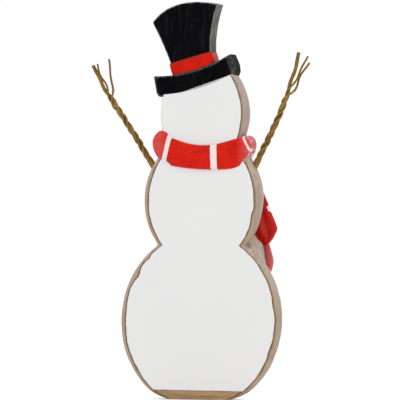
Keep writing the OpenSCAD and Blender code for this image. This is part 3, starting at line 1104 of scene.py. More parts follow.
@dataclass
class Hat:
    """A tilted top hat: a curved brim, a flared crown and a red band."""

    x: float = 3.6
    z: float = 387.7
    tilt: float = math.radians(15.5)
    seat_r: float = 205.0
    brim_l: float = 108.0
    brim_t: float = 26.5
    brim_lean: float = 2.5
    right_chamfer: float = 12.0
    left_chamfer: float = 5.0
    end_round: float = 9.0
    foot_w: float = 50.5
    left: float = 35.5
    left_drop: float = 14.5
    right: float = 53.0
    right_drop: float = 15.5
    crown_h: float = 88.0
    crown_sink: float = 3.0
    flare_w: float = 2.0
    flare_h: float = 35.2
    lid_x: float = 2.0
    lid_drop: float = 4.0
    band_h: float = 17.5
    band_proud: float = 2.8
    band_section: tuple[tuple[float, float], ...] = (
        (-5.0, 0.0), (-0.9, 0.0), (-0.3, 0.05), (0.0, 0.15), (0.2, 0.35), (0.25, 0.5), (0.2, 0.65),
        (0.0, 0.83), (-0.3, 0.94), (-0.9, 1.0), (-5.0, 1.0))
    pinch_right: float = 0.42
    pinch_left: float = 0.12
    brim_depth: float = field(default_factory=lambda: depth_of("hat_brim"))
    crown_depth: float = field(default_factory=lambda: depth_of("hat_crown"))

    def placed(self, points: np.ndarray) -> np.ndarray:
        """Tilts points made upright about the brim and sets them on the head.

        Args:
            points: places in the hat's own frame.

        Returns:
            The places in the figure's frame.
        """
        c, s = math.cos(self.tilt), math.sin(self.tilt)
        x, y, z = points.T
        return np.column_stack([self.x + x * c + z * s, y, self.z - x * s + z * c])

    def upright(self, points: np.ndarray) -> np.ndarray:
        """Undoes placed().

        Args:
            points: places in the figure's frame.

        Returns:
            The places in the hat's own frame.
        """
        c, s = math.cos(self.tilt), math.sin(self.tilt)
        x, y, z = points[:, 0] - self.x, points[:, 1], points[:, 2] - self.z
        return np.column_stack([x * c - z * s, y, x * s + z * c])

    def arc(self, x: np.ndarray, radius: float) -> np.ndarray:
        """Gives the height of a curve about the brim's centre."""
        return self.seat_r - np.sqrt(radius**2 - x**2)

    def under_brim(self, points: np.ndarray) -> np.ndarray:
        """Presses points that would stand in the hat down to just inside its brim.

        Args:
            points: places on the head.

        Returns:
            The same places, none of them high up in the brim.
        """
        local = self.upright(points)
        near = np.clip(local[:, 0], -90.0, 90.0)
        local[:, 2] = np.minimum(local[:, 2], self.arc(near, self.seat_r) + 3.0)
        return self.placed(local)

    def brim(self) -> Shape:
        """Builds the curved brim.

        Returns:
            The brim, upright and not yet tilted.
        """
        half = self.brim_l / 2
        under = np.linspace(-half, half, 90)
        over = np.linspace(self.brim_l / 2 - self.brim_lean, self.brim_lean - self.brim_l / 2, 60)
        low = self.arc(under, self.seat_r)
        for off, cut in ((under + half, self.right_chamfer), (half - under, self.left_chamfer)):
            low = low + cut - np.sqrt(cut**2 - np.clip(cut - off, 0.0, cut) ** 2)
        outline = np.vstack([np.column_stack([under, low]),
                             np.column_stack([over, self.arc(over, self.seat_r - self.brim_t)])])
        return slab(outline, self.brim_depth)

    def round_ends(self, obj: bpy.types.Object) -> None:
        """Rounds the brim's ends as seen from above.

        Args:
            obj: the brim.
        """
        local = self.upright(points_of(obj))
        past = np.clip((np.abs(local[:, 0]) - self.brim_l / 2 + self.end_round) / self.end_round, 0.0, 1.0)
        local[:, 1] *= 1.0 - np.where(local[:, 0] < 0.0, self.pinch_right, self.pinch_left) * past**2.2
        move_points(obj, self.placed(local))

    def crown(self) -> Shape:
        """Builds the flared crown with its domed top.

        Returns:
            The crown, upright and not yet tilted.
        """
        top, foot = self.brim_t + self.crown_h, self.brim_t - self.crown_sink
        t = np.linspace(0.0, 1.0, 24)
        sides = []
        for sign, reach, drop in ((-1, self.right, self.right_drop), (1, self.left, self.left_drop)):
            sides.append(bow(np.array([sign * self.foot_w / 2, foot]),
                             np.array([sign * (self.foot_w / 2 + self.flare_w), self.brim_t + self.flare_h]),
                             np.array([sign * reach, top - drop]), t))
        peak = np.array([self.lid_x, top + self.right_drop - self.lid_drop])
        lid = bow(sides[0][-1], peak, sides[1][-1], t[1:-1])
        return slab(np.vstack([sides[0], lid, sides[1][::-1]]), self.crown_depth)

    def band(self) -> Shape:
        """Builds the band round the foot of the crown, a little crowned and with eased edges.

        Returns:
            The band, upright and not yet tilted.
        """
        half_w, half_d = (self.foot_w + 1.4) / 2 + self.band_proud, self.crown_depth / 2 + self.band_proud
        angle = np.linspace(0.0, 2 * math.pi, 200, endpoint=False)
        power = 0.22
        x = half_w * np.sign(np.cos(angle)) * np.abs(np.cos(angle)) ** power
        y = half_d * np.sign(np.sin(angle)) * np.abs(np.sin(angle)) ** power
        low = self.arc(x, self.seat_r - self.brim_t) - 0.4
        high = self.brim_t + self.band_h + lumps(np.column_stack([x, y, low]), 18.0, 3.0) * 0.35
        rings = []
        for out, rise in self.band_section:
            height = low + (high - low) * rise
            rings.append(np.column_stack([x * (1 + out / half_w), y * (1 + out / half_d), height]))
        rings.append(rings[0])
        whole = loft(np.array(rings))
        return Shape(whole.points, whole.faces[2:])

    def build(self) -> None:
        """Makes and dresses the brim, the crown and the band."""
        black = CarvedPaint("black_hat_paint", (0.004, 0.004, 0.005), (0.002, 0.002, 0.0025),
                            (0.25, 0.24, 0.23), dry_brush=0.80, edge_rub=0.80, gloss=0.50, coat=0.0,
                            face_brush=0.02, shine=0.012, side_tint=0.38)
        less_brushed = replace(black, name="black_brim_paint", dry_brush=0.07, edge_rub=0.28, face_brush=0.15,
                               side_tint=0.0)
        paints = {"hat_crown": black.material(), "hat_brim": less_brushed.material()}
        red = CarvedPaint("red_band_paint", (0.66, 0.013, 0.004), (0.46, 0.007, 0.002), (0.10, 0.03, 0.015),
                          edge_rub=0.8, gloss=0.33, coat=0.05, along=(0.10, 1.0, 1.0), shine=0.03).material()
        for name, shape, node, seed in (("brim_carving", self.brim(), "hat_brim", 11.0),
                                        ("crown_carving", self.crown(), "hat_crown", 12.0)):
            shape.points = self.placed(shape.points)
            obj = carved(shape.piece(name), 1.0, 5)
            if node == "hat_brim":
                self.round_ends(obj)
            hand_cut(obj, 0.35, 14.0, seed, (1.0, 1.0, 2.2))
            store_wear_and_hollow_shade(obj, 4, 16.0)
            dressed(obj, paints[node], Body.FIGURE, Slot.BLACK, node)
        ring = self.band()
        ring.points = self.placed(ring.points)
        obj = ring.piece("band_carving")
        hand_cut(obj, 0.25, 10.0, 13.0)
        store_wear_and_hollow_shade(obj, 2, 9.0)
        dressed(obj, red, Body.FIGURE, Slot.RED, "hat_band", crease=60.0)


# ---- the scarf ----


@dataclass(frozen=True)
class Stripe:
    """A white stripe across the scarf: its x at the middle line, its half width and its lean."""

    x: float
    half_w: float
    lean: float


@dataclass(frozen=True)
class Tail:
    """A hanging tail: its top, bend and end, its half widths, its stripes and how much painted pink sheen
    lies over all of it.
    """

    name: str
    node: str
    top: tuple[float, float, float]
    bend: tuple[float, float, float]
    end: tuple[float, float, float]
    half_w: tuple[float, float]
    stripes: tuple[float, ...]
    seed: float
    sheen_all_over: float = 0.0


@dataclass
class Scarf:
    """The carved scarf: a wrap in two halves, a knot and two pointed tails."""

    z: float = 304.5
    rise: float = 14.5
    tilt: float = 3.2
    horns: tuple[tuple[float, float], ...] = (
        (-0.95, 4.0), (-0.8, 0.0), (0.58, 0.3), (0.7, 4.8), (0.82, 3.0), (0.95, 0.5))
    half_h: float = 16.5
    fat: float = 10.0
    end_h: float = 43.0
    power: float = 0.36
    reach_power: float = 0.27
    # painted highlight: a thin light line along the wrap's top and bottom edges, and painted pink sheen
    # towards both ends
    sheen_line_at: float = 0.955
    sheen_line_w: float = 0.04
    sheen_line_strength: float = 0.95
    sheen_ends_from: float = 0.68
    sheen_ends_over: float = 0.2
    sheen_ends: float = 0.15
    fold_w: float = 0.09
    folds: tuple[tuple[float, float], ...] = ((0.42, 0.022), (-0.38, 0.018))
    knot: tuple[float, float, float] = (-36.0, -30.0, 294.0)
    knot_size: tuple[float, float, float] = (15.0, 11.0, 17.0)
    tail_t: float = 11.0
    tail_widest: float = 0.84
    back_stripes: tuple[Stripe, ...] = (
        Stripe(42.6, 3.1, -0.26), Stripe(-18.4, 4.1, 0.03), Stripe(-60.6, 1.4, 0.45))
    front_stripes: tuple[Stripe, ...] = (
        Stripe(49.0, 3.2, -0.4), Stripe(14.0, 4.0, -0.1), Stripe(-14.0, 3.6, 0.1), Stripe(-56.0, 3.0, 0.4))
    tails: tuple[Tail, ...] = (
        Tail("short_tail", "scarf_tail_short", (-46, -24, 292), (-60, -27, 250), (-75.5, -21, 193.5),
             (8.5, 20.5), (0.61,), 31.0),
        # the long tail carries painted sheen all over
        Tail("long_tail", "scarf_tail_long", (-34, -27, 286), (-50, -34, 235), (-68.5, -31, 143),
             (11.0, 21.0), (0.42,), 32.0, 0.22),
    )
    half_w: float = field(default_factory=lambda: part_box("scarf_back")[1].x / MM + 0.35)
    back: float = field(default_factory=lambda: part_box("scarf_back")[1].y / MM)
    front: float = field(default_factory=lambda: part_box("scarf_front")[0].y / MM)

    def wrap_shape(self, behind: bool) -> Shape:
        """Builds one half of the wrap.

        Args:
            behind: True for the half on the flat back.

        Returns:
            The half, with low folds carved along it.
        """
        angle = np.radians(np.linspace(-89.0, 89.0, 120))[:, None]
        turn = np.radians(np.linspace(0.0, 360.0, 90, endpoint=False))[None, :]
        s, c = np.sin(angle), np.cos(angle)
        mid, reach = (self.back + self.front) / 2, (self.back - self.front) / 2 * c**self.reach_power
        tall = self.tall(s)
        across = np.sign(np.cos(turn)) * np.abs(np.cos(turn)) ** self.power
        up = -np.sign(np.sin(turn)) * np.abs(np.sin(turn)) ** self.power
        folds = sum(np.exp(-((up - place) / self.fold_w) ** 2) * cut for place, cut in self.folds)
        y = mid + reach * across * (1.0 - folds)
        z = self.middle(s) + tall * up
        x = self.half_w * s + np.zeros_like(z)
        y = np.maximum(y, 0.0) if behind else np.minimum(y, 0.0)
        return loft(np.stack([x, y, z], axis=2))

    def middle(self, s: np.ndarray) -> np.ndarray:
        """Gives the height of the wrap's middle line at a share s of its half width."""
        ends = np.interp(s, *zip(*self.horns))
        return self.z + self.tilt * s + self.rise * s * s + ends

    def tall(self, s: np.ndarray) -> np.ndarray:
        """Gives the wrap's half height at a share s of its half width."""
        end = self.end_h * np.clip(1.0 - s * s, 1e-4, 1.0) ** 0.6
        return ((self.half_h + self.fat * s * s) ** -4 + end**-4) ** -0.25

    def painted_sheen_on(self, points: np.ndarray) -> np.ndarray:
        """Gives the painted highlight along the wrap's top and bottom edges and the painted sheen at its
        ends.

        Args:
            points: places on the wrap.

        Returns:
            A share of the painted sheen colour for each place.
        """
        s = np.clip(points[:, 0] / self.half_w, -0.999, 0.999)
        height = np.abs(points[:, 2] - self.middle(s)) / self.tall(s)
        # painted highlight along the top and bottom edges
        edge = np.exp(-(((height - self.sheen_line_at) / self.sheen_line_w) ** 2)) * self.sheen_line_strength
        # painted sheen towards both ends
        ends = np.clip((np.abs(s + 0.06) - self.sheen_ends_from) / self.sheen_ends_over, 0.0, 1.0) * self.sheen_ends
        return np.maximum(edge, ends)

    def stripes_on(self, points: np.ndarray, stripes: Sequence[Stripe]) -> np.ndarray:
        """Gives 1 inside the wrap's stripes and 0 outside, with a soft edge.

        Args:
            points: places on the wrap.
            stripes: the stripes of that half.

        Returns:
            A share from 0 to 1 for each place.
        """
        x, z = points[:, 0], points[:, 2]
        total = np.zeros(len(points))
        for stripe in stripes:
            centre = stripe.x + stripe.lean * (z - self.middle(np.array(stripe.x / self.half_w)))
            total = np.maximum(total, 0.5 + (stripe.half_w - np.abs(x - centre)) * 0.5)
        return np.clip(total, 0.0, 1.0)

    def knot_shape(self) -> Shape:
        """Builds the knot with the folds that run into it.

        Returns:
            The knot.
        """

        def profile(t: np.ndarray) -> tuple[np.ndarray, np.ndarray]:
            """Gives a ball of radius 1 that is cut a little flat at both ends."""
            angle = np.pi * (t * 0.94 + 0.03)
            return np.sin(angle), -np.cos(angle)

        rings = turned(profile, 60, 72)
        around = np.arctan2(rings[..., 1], rings[..., 0])
        swell = 1.0 + 0.05 * np.cos(around * 5 + rings[..., 2] * 1.6) * (1 - rings[..., 2] ** 2)
        wide, deep, tall = self.knot_size
        points = np.stack([self.knot[0] + rings[..., 2] * wide, self.knot[1] + rings[..., 0] * deep * swell,
                           self.knot[2] + rings[..., 1] * tall * swell], axis=2)
        return loft(points)

    def tail_shape(self, tail: Tail) -> tuple[Shape, np.ndarray]:
        """Builds a tail with pleats along it, grooves beside its stripes and a pointed end.

        Args:
            tail: its sizes.

        Returns:
            The shape, and how far each point is inside a stripe.
        """
        t = np.linspace(0.0, 1.0, 130)[:, None]
        turn = np.radians(np.linspace(0, 360, 84, endpoint=False))[None, :]
        u = np.sign(np.cos(turn)) * np.abs(np.cos(turn)) ** 0.5
        v = np.sign(np.sin(turn)) * np.abs(np.sin(turn)) ** 0.7
        along = np.repeat(t, turn.shape[1], axis=1)
        p, q, r = (np.array(v3, float) for v3 in (tail.top, tail.bend, tail.end))
        centre = bow(p, q, r, along)
        ahead = bow(p, q, r, along + 0.01) - centre
        ahead[..., 1] = 0.0
        ahead /= np.linalg.norm(ahead, axis=2, keepdims=True)
        across = np.stack([-ahead[..., 2], np.zeros_like(along), ahead[..., 0]], axis=2)
        closing = np.clip((along - self.tail_widest) / (1.0 - self.tail_widest), 0.0, 1.0)
        half = (tail.half_w[0] + (tail.half_w[1] - tail.half_w[0]) * along) * (1.0 - 0.9 * closing**1.5)
        pleat = 0.15 * np.exp(-(((np.abs(u) - 0.40) / 0.10) ** 2)) + 0.06 * np.cos(u * 9.0 + t * 5.0)
        stripe, groove = np.zeros_like(along), np.zeros_like(along)
        for place in tail.stripes:
            off = np.abs(along - place)
            seen = np.maximum(np.clip(0.5 - (v - 0.25) * 3.0, 0.0, 1.0), np.clip((-u - 0.80) * 9.0, 0.0, 1.0))
            stripe = np.maximum(stripe, np.clip(0.5 + (0.034 - off) * 50.0, 0.0, 1.0) * seen)
            groove = np.maximum(groove, np.exp(-(((off - 0.040) / 0.010) ** 2)))
        thick = self.tail_t / 2 * (1.0 - pleat - 0.20 * groove)
        points = centre + across * (u * half * (1.0 - 0.045 * groove))[..., None]
        points[..., 1] += v * thick
        return loft(points), stripe.reshape(-1)

    def build(self) -> None:
        """Makes and dresses the wrap, the knot and the tails."""
        paint = CarvedPaint("red_scarf_paint", (0.66, 0.013, 0.004), (0.46, 0.007, 0.002),
                            (0.62, 0.16, 0.12), dry_brush=0.10, edge_rub=0.35, gloss=0.33, coat=0.07,
                            along=(0.16, 0.5, 1.0), shine=0.03)
        red = paint.material()
        tail_red = replace(paint, name="red_tail_paint", paint=(0.56, 0.010, 0.004),
                           shade=(0.34, 0.005, 0.002), gloss=0.26, coat=0.20,
                           along=(1.0, 0.5, 0.2)).material()
        for name, behind, stripes in (("scarf_behind", True, self.back_stripes),
                                      ("scarf_in_front", False, self.front_stripes)):
            obj = self.wrap_shape(behind).piece(name)
            hand_cut(obj, 0.45, 11.0, 21.0 + behind, (1.6, 1.0, 1.0))
            store_wear_and_hollow_shade(obj, 3, 6.0)
            store(obj, "stripe", self.stripes_on(points_of(obj), stripes))
            # painted highlight and painted sheen on the wrap
            store(obj, "painted_sheen", self.painted_sheen_on(points_of(obj)))
            dressed(obj, red, Body.FIGURE, Slot.RED, "scarf_back" if behind else "scarf_front", crease=60.0)
        obj = self.knot_shape().piece("scarf_knot_carving")
        hand_cut(obj, 0.5, 7.0, 25.0)
        store_wear_and_hollow_shade(obj, 3, 6.0)
        dressed(obj, red, Body.FIGURE, Slot.RED, "scarf_knot", crease=60.0)
        for tail in self.tails:
            shape, stripe = self.tail_shape(tail)
            obj = shape.piece(tail.name)
            store(obj, "stripe", stripe)
            # painted sheen spread evenly over the whole tail
            store(obj, "painted_sheen", np.full(len(stripe), tail.sheen_all_over))
            hand_cut(obj, 0.35, 8.0, tail.seed)
            store_wear_and_hollow_shade(obj, 3, 3.5)
            dressed(obj, tail_red, Body.FIGURE, Slot.RED, tail.node, crease=60.0)


# ---- the face and the buttons ----


@dataclass
class Face:
    """The carrot nose, the eyes, the mouth's pebbles and the coat buttons, all on the domed front."""

    nose_z: float = 358.0
    nose_r: float = 8.5
    nose_l: float = 42.0
    eye_x: float = 18.0
    eye_z: float = 374.0
    eye_w: float = 9.5
    pebble_w: float = 6.5
    mouth_r: float = 24.0
    mouth: tuple[float, ...] = (-56.0, -28.0, 0.0, 28.0, 56.0)
    button_w: float = 19.0
    buttons: tuple[tuple[str, float], ...] = (("top", 276.0), ("middle", 240.0), ("bottom", 138.0))

    def on_front(self, board: Board, x: float, z: float, rings: np.ndarray) -> np.ndarray:
        """Sets rings made along +Z on the domed front."""
        place, turn = board.front_frame(x, z)
        return place + rings @ turn.T

    def carrot(self) -> np.ndarray:
        """Gives the rings of the carved carrot, with the fine creases that a carrot has.

        Returns:
            An array of rings along +Z.
        """

        def profile(t: np.ndarray) -> tuple[np.ndarray, np.ndarray]:
            """Gives the carrot's radius and height.

            Args:
                t: shares of its length.

            Returns:
                The radii and the heights.
            """
            body = np.interp(t, [0.0, 0.01, 0.07, 0.13, 0.45, 0.78, 0.95, 0.985, 1.0],
                             [0.0, 0.80, 0.96, 1.0, 0.73, 0.42, 0.20, 0.12, 0.0])
            return self.nose_r * body, self.nose_l * t - 0.6

        rings = turned(profile, 130, 56)
        turn, height = np.arctan2(rings[..., 1], rings[..., 0]), rings[..., 2]
        crease = np.zeros_like(height)
        for k, place in enumerate((5.0, 9.5, 13.0, 18.5, 22.0, 27.5, 32.0)):
            arc = np.clip(np.cos(turn - k * 2.1) * 2.0, 0.0, 1.0)
            crease += np.exp(-(((height - place) / 0.5) ** 2)) * arc
        rings[..., :2] *= (1.0 - 0.06 * crease)[..., None]
        return rings

    def knob(self, width: float) -> np.ndarray:
        """Gives the rings of a low domed knob.

        Args:
            width: how wide it is.

        Returns:
            An array of rings along +Z.
        """
        rim, dome = width * 0.18, width * 0.24

        def profile(t: np.ndarray) -> tuple[np.ndarray, np.ndarray]:
            """Gives the knob's radius and height: a short side, an eased rim and a dome.

            Args:
                t: shares of the way from its middle below to its top.

            Returns:
                The radii and the heights.
            """
            radius = np.interp(t, [0.0, 0.02, 0.30, 0.36, 0.42, 1.0], [0.0, 0.98, 1.0, 0.97, 0.91, 0.0])
            lift = np.interp(t, [0.0, 0.02, 0.30, 0.36, 0.42], [-0.5, -0.5, rim - 0.4, rim, rim + 0.2])
            cap = np.sqrt(np.clip(1.0 - (radius * 0.98) ** 2, 0.0, 1.0))
            crest = rim + 0.2 + (dome - 0.2) * (cap - 0.45) / 0.55
            return width / 2 * radius, np.where(t > 0.42, crest, lift)

        return turned(profile, 40, 44)

    def build(self, board: Board) -> None:
        """Makes and dresses the nose, the eyes, the pebbles and the buttons.

        Args:
            board: the board that they stand on.
        """
        orange = CarvedPaint("orange_carrot_paint", (0.72, 0.17, 0.018), (0.52, 0.09, 0.010),
                             (0.50, 0.30, 0.16), edge_rub=0.4, gloss=0.45, along=(1.0, 0.1, 1.0)).material()
        coal = CarvedPaint("charcoal_knob_paint", (0.022, 0.021, 0.021), (0.009, 0.009, 0.010),
                           (0.17, 0.15, 0.14), dry_brush=0.25, edge_rub=0.65, gloss=0.48).material()
        obj = loft(self.on_front(board, 0.0, self.nose_z, self.carrot())).piece("carrot_carving")
        hand_cut(obj, 0.25, 7.0, 41.0)
        store_wear_and_hollow_shade(obj, 2, 5.0)
        dressed(obj, orange, Body.FIGURE, Slot.ORANGE, "carrot_nose", crease=60.0)
        sets = [("eye_left", "left_eye", self.eye_w, [(self.eye_x, self.eye_z)]),
                ("eye_right", "right_eye", self.eye_w, [(-self.eye_x, self.eye_z)]),
                ("smile_pebbles", "mouth_pebbles", self.pebble_w,
                 [(self.mouth_r * math.sin(math.radians(a)),
                   self.nose_z - self.mouth_r * 0.95 * math.cos(math.radians(a))) for a in self.mouth])]
        for name, z in self.buttons:
            sets.append(("button_" + name, "coat_button_" + name, self.button_w, [(0.0, z)]))
        for k, (name, node, width, places) in enumerate(sets):
            points, faces = np.zeros((0, 3)), []
            for x, z in places:
                one = loft(self.on_front(board, x, z, self.knob(width)))
                faces += [tuple(i + len(points) for i in face) for face in one.faces]
                points = np.vstack([points, one.points])
            obj = Shape(points, faces).piece(name)
            hand_cut(obj, width * 0.025, width * 0.5, 43.0 + k)
            store_wear_and_hollow_shade(obj, 2, 5.0)
            dressed(obj, coal, Body.FIGURE, Slot.CHARCOAL, node, crease=60.0)


# ---- the arms ----


@dataclass(frozen=True)
class Twig:
    """One of an arm's three vines: its name, its twist, its radii and its finger."""

    name: str
    twist_r: float
    phase: float
    stem_r: float
    tip_r: float
    finger: tuple[tuple[float, float, float], ...]

    @property
    def whittled(self) -> bool:
        """Tells whether this is the thick vine whose butt stands in the socket."""
        return self.name == "main"


@dataclass
class Arm:
    """Three vines twisted together, the thickest whittled round where it enters its socket."""

    body: Body
    side: int
    lean: float
    stem: tuple[tuple[float, float, float], ...]
    twigs: tuple[Twig, ...]
    shoulder: tuple[float, float, float] = (66.5, 4.0, 294.0)
    butt_r: float = 4.0
    butt_out: float = 5.0
    socket_r: float = 4.05
    socket_depth: float = 28.0
    pitch: float = 38.0
    ring_gap: float = 1.0
    growth: Waves = ((9.0, 1.0, 0.07), (3.5, 2.0, 0.05))
    node_w: float = 1.6
    node_swell: float = 0.16
    bark_r: float = 2.2
    tip_ease: float = 0.93
    sides: int = 22

    def turn(self) -> np.ndarray:
        """Gives the turn that leans the socket outwards."""
        a = math.radians(self.lean) * self.side
        return np.array([[math.cos(a), 0.0, math.sin(a)], [0.0, 1.0, 0.0], [-math.sin(a), 0.0, math.cos(a)]])

    def placed(self, points: np.ndarray) -> np.ndarray:
        """Sets points made along the socket's own +Z in place."""
        origin = np.array([self.shoulder[0] * self.side, self.shoulder[1], self.shoulder[2]])
        return points @ self.turn().T + origin

    def in_socket(self, points: np.ndarray) -> np.ndarray:
        """Gives 1 for points on the socket's bore and 0 elsewhere.

        Args:
            points: places on the board.

        Returns:
            A 1 or a 0 for each place.
        """
        origin = np.array([self.shoulder[0] * self.side, self.shoulder[1], self.shoulder[2]])
        local = (points - origin) @ self.turn()
        radius = np.hypot(local[:, 0], local[:, 1])
        return ((radius < self.socket_r + 0.12) & (local[:, 2] > -self.socket_depth - 1.0)).astype(float)

    def route(self, twig: Twig) -> tuple[np.ndarray, np.ndarray]:
        """Gives the vine's centre line before its twist, and how much of the twist is left along it.

        Args:
            twig: the vine.

        Returns:
            Points about a millimetre apart, and a share from 1 on the stem to 0 at the tip.
        """
        knots = np.array(self.stem + twig.finger, float)
        spans = len(knots) - 1
        line, fade = [], []
        for i in range(spans):
            a, b, c, d = knots[max(i - 1, 0)], knots[i], knots[i + 1], knots[min(i + 2, spans)]
            count = max(2, int(np.linalg.norm(c - b) / self.ring_gap))
            t = np.linspace(0.0, 1.0, count, endpoint=i == spans - 1)[:, None]
            second, third = a * 2 - b * 5 + c * 4 - d, b * 3 - a - c * 3 + d
            line.append((b * 2 + (c - a) * t + second * t**2 + third * t**3) / 2)
            bare = len(self.stem) - 1
            fade.append(np.where(i < bare, 1.0, 1.0 - (i - bare + t[:, 0]) / (spans - bare)))
        return np.vstack(line), np.concatenate(fade)

    def bit_profile(self, t: np.ndarray) -> tuple[np.ndarray, np.ndarray]:
        """Gives the radius and height of the drill bit, which starts at the bottom of the socket."""
        return np.full_like(t, self.socket_r), self.socket_depth * (t * 3.0 - 1.0)

    def thickness(self, twig: Twig, length: np.ndarray) -> np.ndarray:
        """Gives the vine's radius along its length, with uneven growth and three small nodes.

        Args:
            twig: the vine.
            length: how far along the vine each ring is.

        Returns:
            One radius for each ring.
        """
        size = twig.stem_r + (twig.tip_r - twig.stem_r) * np.linspace(0.0, 1.0, len(length))
        steps = np.column_stack([length, np.full_like(length, twig.phase), np.zeros_like(length)])
        size = size * (1.0 + waves(steps, self.growth))
        for k in range(3):
            node_at = length[-1] * (0.22 + 0.27 * k + 0.05 * math.sin(twig.phase + k))
            size = size * (1.0 + self.node_swell * np.exp(-(((length - node_at) / self.node_w) ** 2)))
        return size

    def skin(self, centre: np.ndarray, across: np.ndarray, size: np.ndarray,
             length: np.ndarray) -> np.ndarray:
        """Gives the vine's rings, with five broad and eight fine ridges of bark and an eased tip.

        Args:
            centre: the middle of each ring.
            across: each ring's own sideways direction.
            size: each ring's radius.
            length: how far along the vine each ring is.

        Returns:
            An array of rings.
        """
        around, far = self.around(), length[:, None]
        ridge = 1.0 + 0.045 * np.cos(around * 5 + far * 0.11) + 0.03 * np.cos(around * 8 - far * 0.2)
        radius = size[:, None] * ridge
        rings = (centre[:, None] + across[:, None] * (np.cos(around) * radius)[..., None]
                 - np.array([0.0, 1.0, 0.0]) * (np.sin(around) * radius)[..., None])
        tip = rings[-1].mean(axis=0)
        rings[-1] = tip + (rings[-1] - tip) * self.tip_ease
        return rings

    def around(self) -> np.ndarray:
        """Gives the angles of a ring's points."""
        return np.linspace(0.0, 2 * math.pi, self.sides, endpoint=False)

    def vine(self, twig: Twig) -> tuple[Shape, dict[str, np.ndarray]]:
        """Builds one vine with ridged bark, small nodes and a cut end.

        Args:
            twig: its sizes.

        Returns:
            The shape, and what is stored on its points.
        """
        line, fade = self.route(twig)
        ahead = np.gradient(line, axis=0)
        across = np.column_stack([ahead[:, 2], np.zeros(len(line)), -ahead[:, 0]])
        across /= np.linalg.norm(across, axis=1, keepdims=True)
        turn = np.radians(twig.phase + 360.0 * line[:, 2] / self.pitch)
        spin = across * np.cos(turn)[:, None] + np.array([0.0, 1.0, 0.0]) * np.sin(turn)[:, None]
        centre = line + spin * (twig.twist_r * fade)[:, None]
        length = np.concatenate([[0.0], np.cumsum(np.linalg.norm(np.diff(centre, axis=0), axis=1))])
        size = self.thickness(twig, length)
        if twig.whittled:
            first = np.clip((length - 2.0) / 9.0, 0.0, 1.0)
            size = size * first + self.butt_r * (1.0 - first)
            centre = centre * first[:, None] + line * (1.0 - first[:, None])
        else:
            size = size * np.clip(0.55 + length / 14.0, 0.0, 1.0)
        rings, bared = self.skin(centre, across, size, length), np.zeros(len(line))
        if twig.whittled:
            rings, extra = self.with_butt(rings)
            length = np.concatenate([np.linspace(-extra, -0.5, extra), length])
            inside = -np.linspace(-self.socket_depth, self.butt_out, extra) / 3.0
            bared = np.concatenate([np.clip(inside, 0.0, 1.0), bared])
            turn, fade = np.concatenate([np.zeros(extra), turn]), np.concatenate([np.ones(extra), fade])
        around = np.tile(self.around(), (len(rings), 1))
        # painted shade: the side of each vine that faces the twist's middle, where the vines touch
        inward = -np.cos(turn[:, None] + around)
        hollow_shade = np.clip(inward - 0.35, 0.0, 0.6) * (np.clip(length / 6.0, 0.0, 1.0) * fade)[:, None]
        route = np.stack([np.cos(around) * self.bark_r, np.sin(around) * self.bark_r,
                          np.repeat(length[:, None], self.sides, axis=1)], axis=2)
        tip = np.clip(1.0 - (length[-1] - length) / 0.8, 0.0, 1.0)
        stored = {"route": (route * MM + twig.phase * 0.001).reshape(-1, 3), "hollow_shade": hollow_shade.reshape(-1),
                  "cut": np.repeat(tip, self.sides), "whittled": np.repeat(bared, self.sides)}
        return loft(rings), stored

    def with_butt(self, rings: np.ndarray) -> tuple[np.ndarray, int]:
        """Adds the round butt that stands in the socket.

        Args:
            rings: the vine's rings.

        Returns:
            The rings with the butt's first, and how many were added.
        """
        around = self.around()
        heights = np.linspace(0.6 - self.socket_depth, self.butt_out - 0.6, 34)
        butt = np.zeros((len(heights) + 1, len(around), 3))
        butt[1:, :, 2] = heights[:, None]
        butt[0, :, 2] = heights[0]
        radius = np.full(len(heights) + 1, self.butt_r - 0.02)
        radius[0] = self.butt_r - 0.9
        butt[1, :, 2] += 0.7
        butt[..., 0] = np.cos(around) * radius[:, None]
        butt[..., 1] = -np.sin(around) * radius[:, None]
        return np.concatenate([butt, rings]), len(butt)

    def build(self, bark: bpy.types.Material) -> None:
        """Makes and dresses the three vines.

        Args:
            bark: their finish.
        """
        for twig in self.twigs:
            shape, stored = self.vine(twig)
            shape.points = self.placed(shape.points)
            obj = shape.piece(f"{self.body.value}_{twig.name}_vine")
            for name, values in stored.items():
                if len(values) == len(obj.data.vertices):
                    store(obj, name, values)
                else:
                    LOG.warning("%s: %s does not fit its points", obj.name, name)
            dressed(obj, bark, self.body, Slot.BARK, f"{self.body.value}_{twig.name}_twig", crease=55.0)


def left_arm() -> Arm:
    """Gives the figure's left arm.

    Returns:
        The arm, with its stem and its three vines.
    """
    return Arm(
        Body.LEFT_ARM, 1, 30.0, ((0, 0, 5), (1.5, 0, 40), (3, 0, 67), (5, 0, 98)),
        (Twig("main", 1.5, 0.0, 2.4, 2.2, ((6, 0, 116), (6, 0, 130), (5, 0, 149.5))),
         Twig("second", 2.75, 130.0, 1.5, 1.2, ((3.5, 1, 118), (2, 2, 134), (-1.5, 2, 148))),
         Twig("third", 2.75, 230.0, 1.5, 1.3, ((-1.5, -1, 112), (-8, -2, 125), (-16.5, -3, 146.5)))),
    )


def right_arm() -> Arm:
    """Gives the figure's right arm.

    Returns:
        The arm, with its stem and its three vines.
    """
    return Arm(
        Body.RIGHT_ARM, -1, 28.0, ((0, 0, 5), (1, 0, 35), (2, 0, 65), (4.5, 0, 88)),
        (Twig("main", 1.5, 0.0, 2.4, 2.2, ((7.5, 0, 106), (11, 0, 128), (17.3, 0, 151.5))),
         Twig("second", 2.75, 130.0, 1.5, 1.2, ((5.3, 1, 107), (4, 3, 130), (4, 3, 153))),
         Twig("third", 2.75, 230.0, 1.5, 1.3, ((1.5, -2, 110), (1.6, -3, 128), (0, -4, 146)))),
    )


# ---- the studio ----


@dataclass(frozen=True)
class Lamp:
    """A soft box: its name, direction in degrees, distance and size in metres, and its power."""

    name: str
    azimuth: float
    elevation: float
    distance: float
    size: float
    power: float


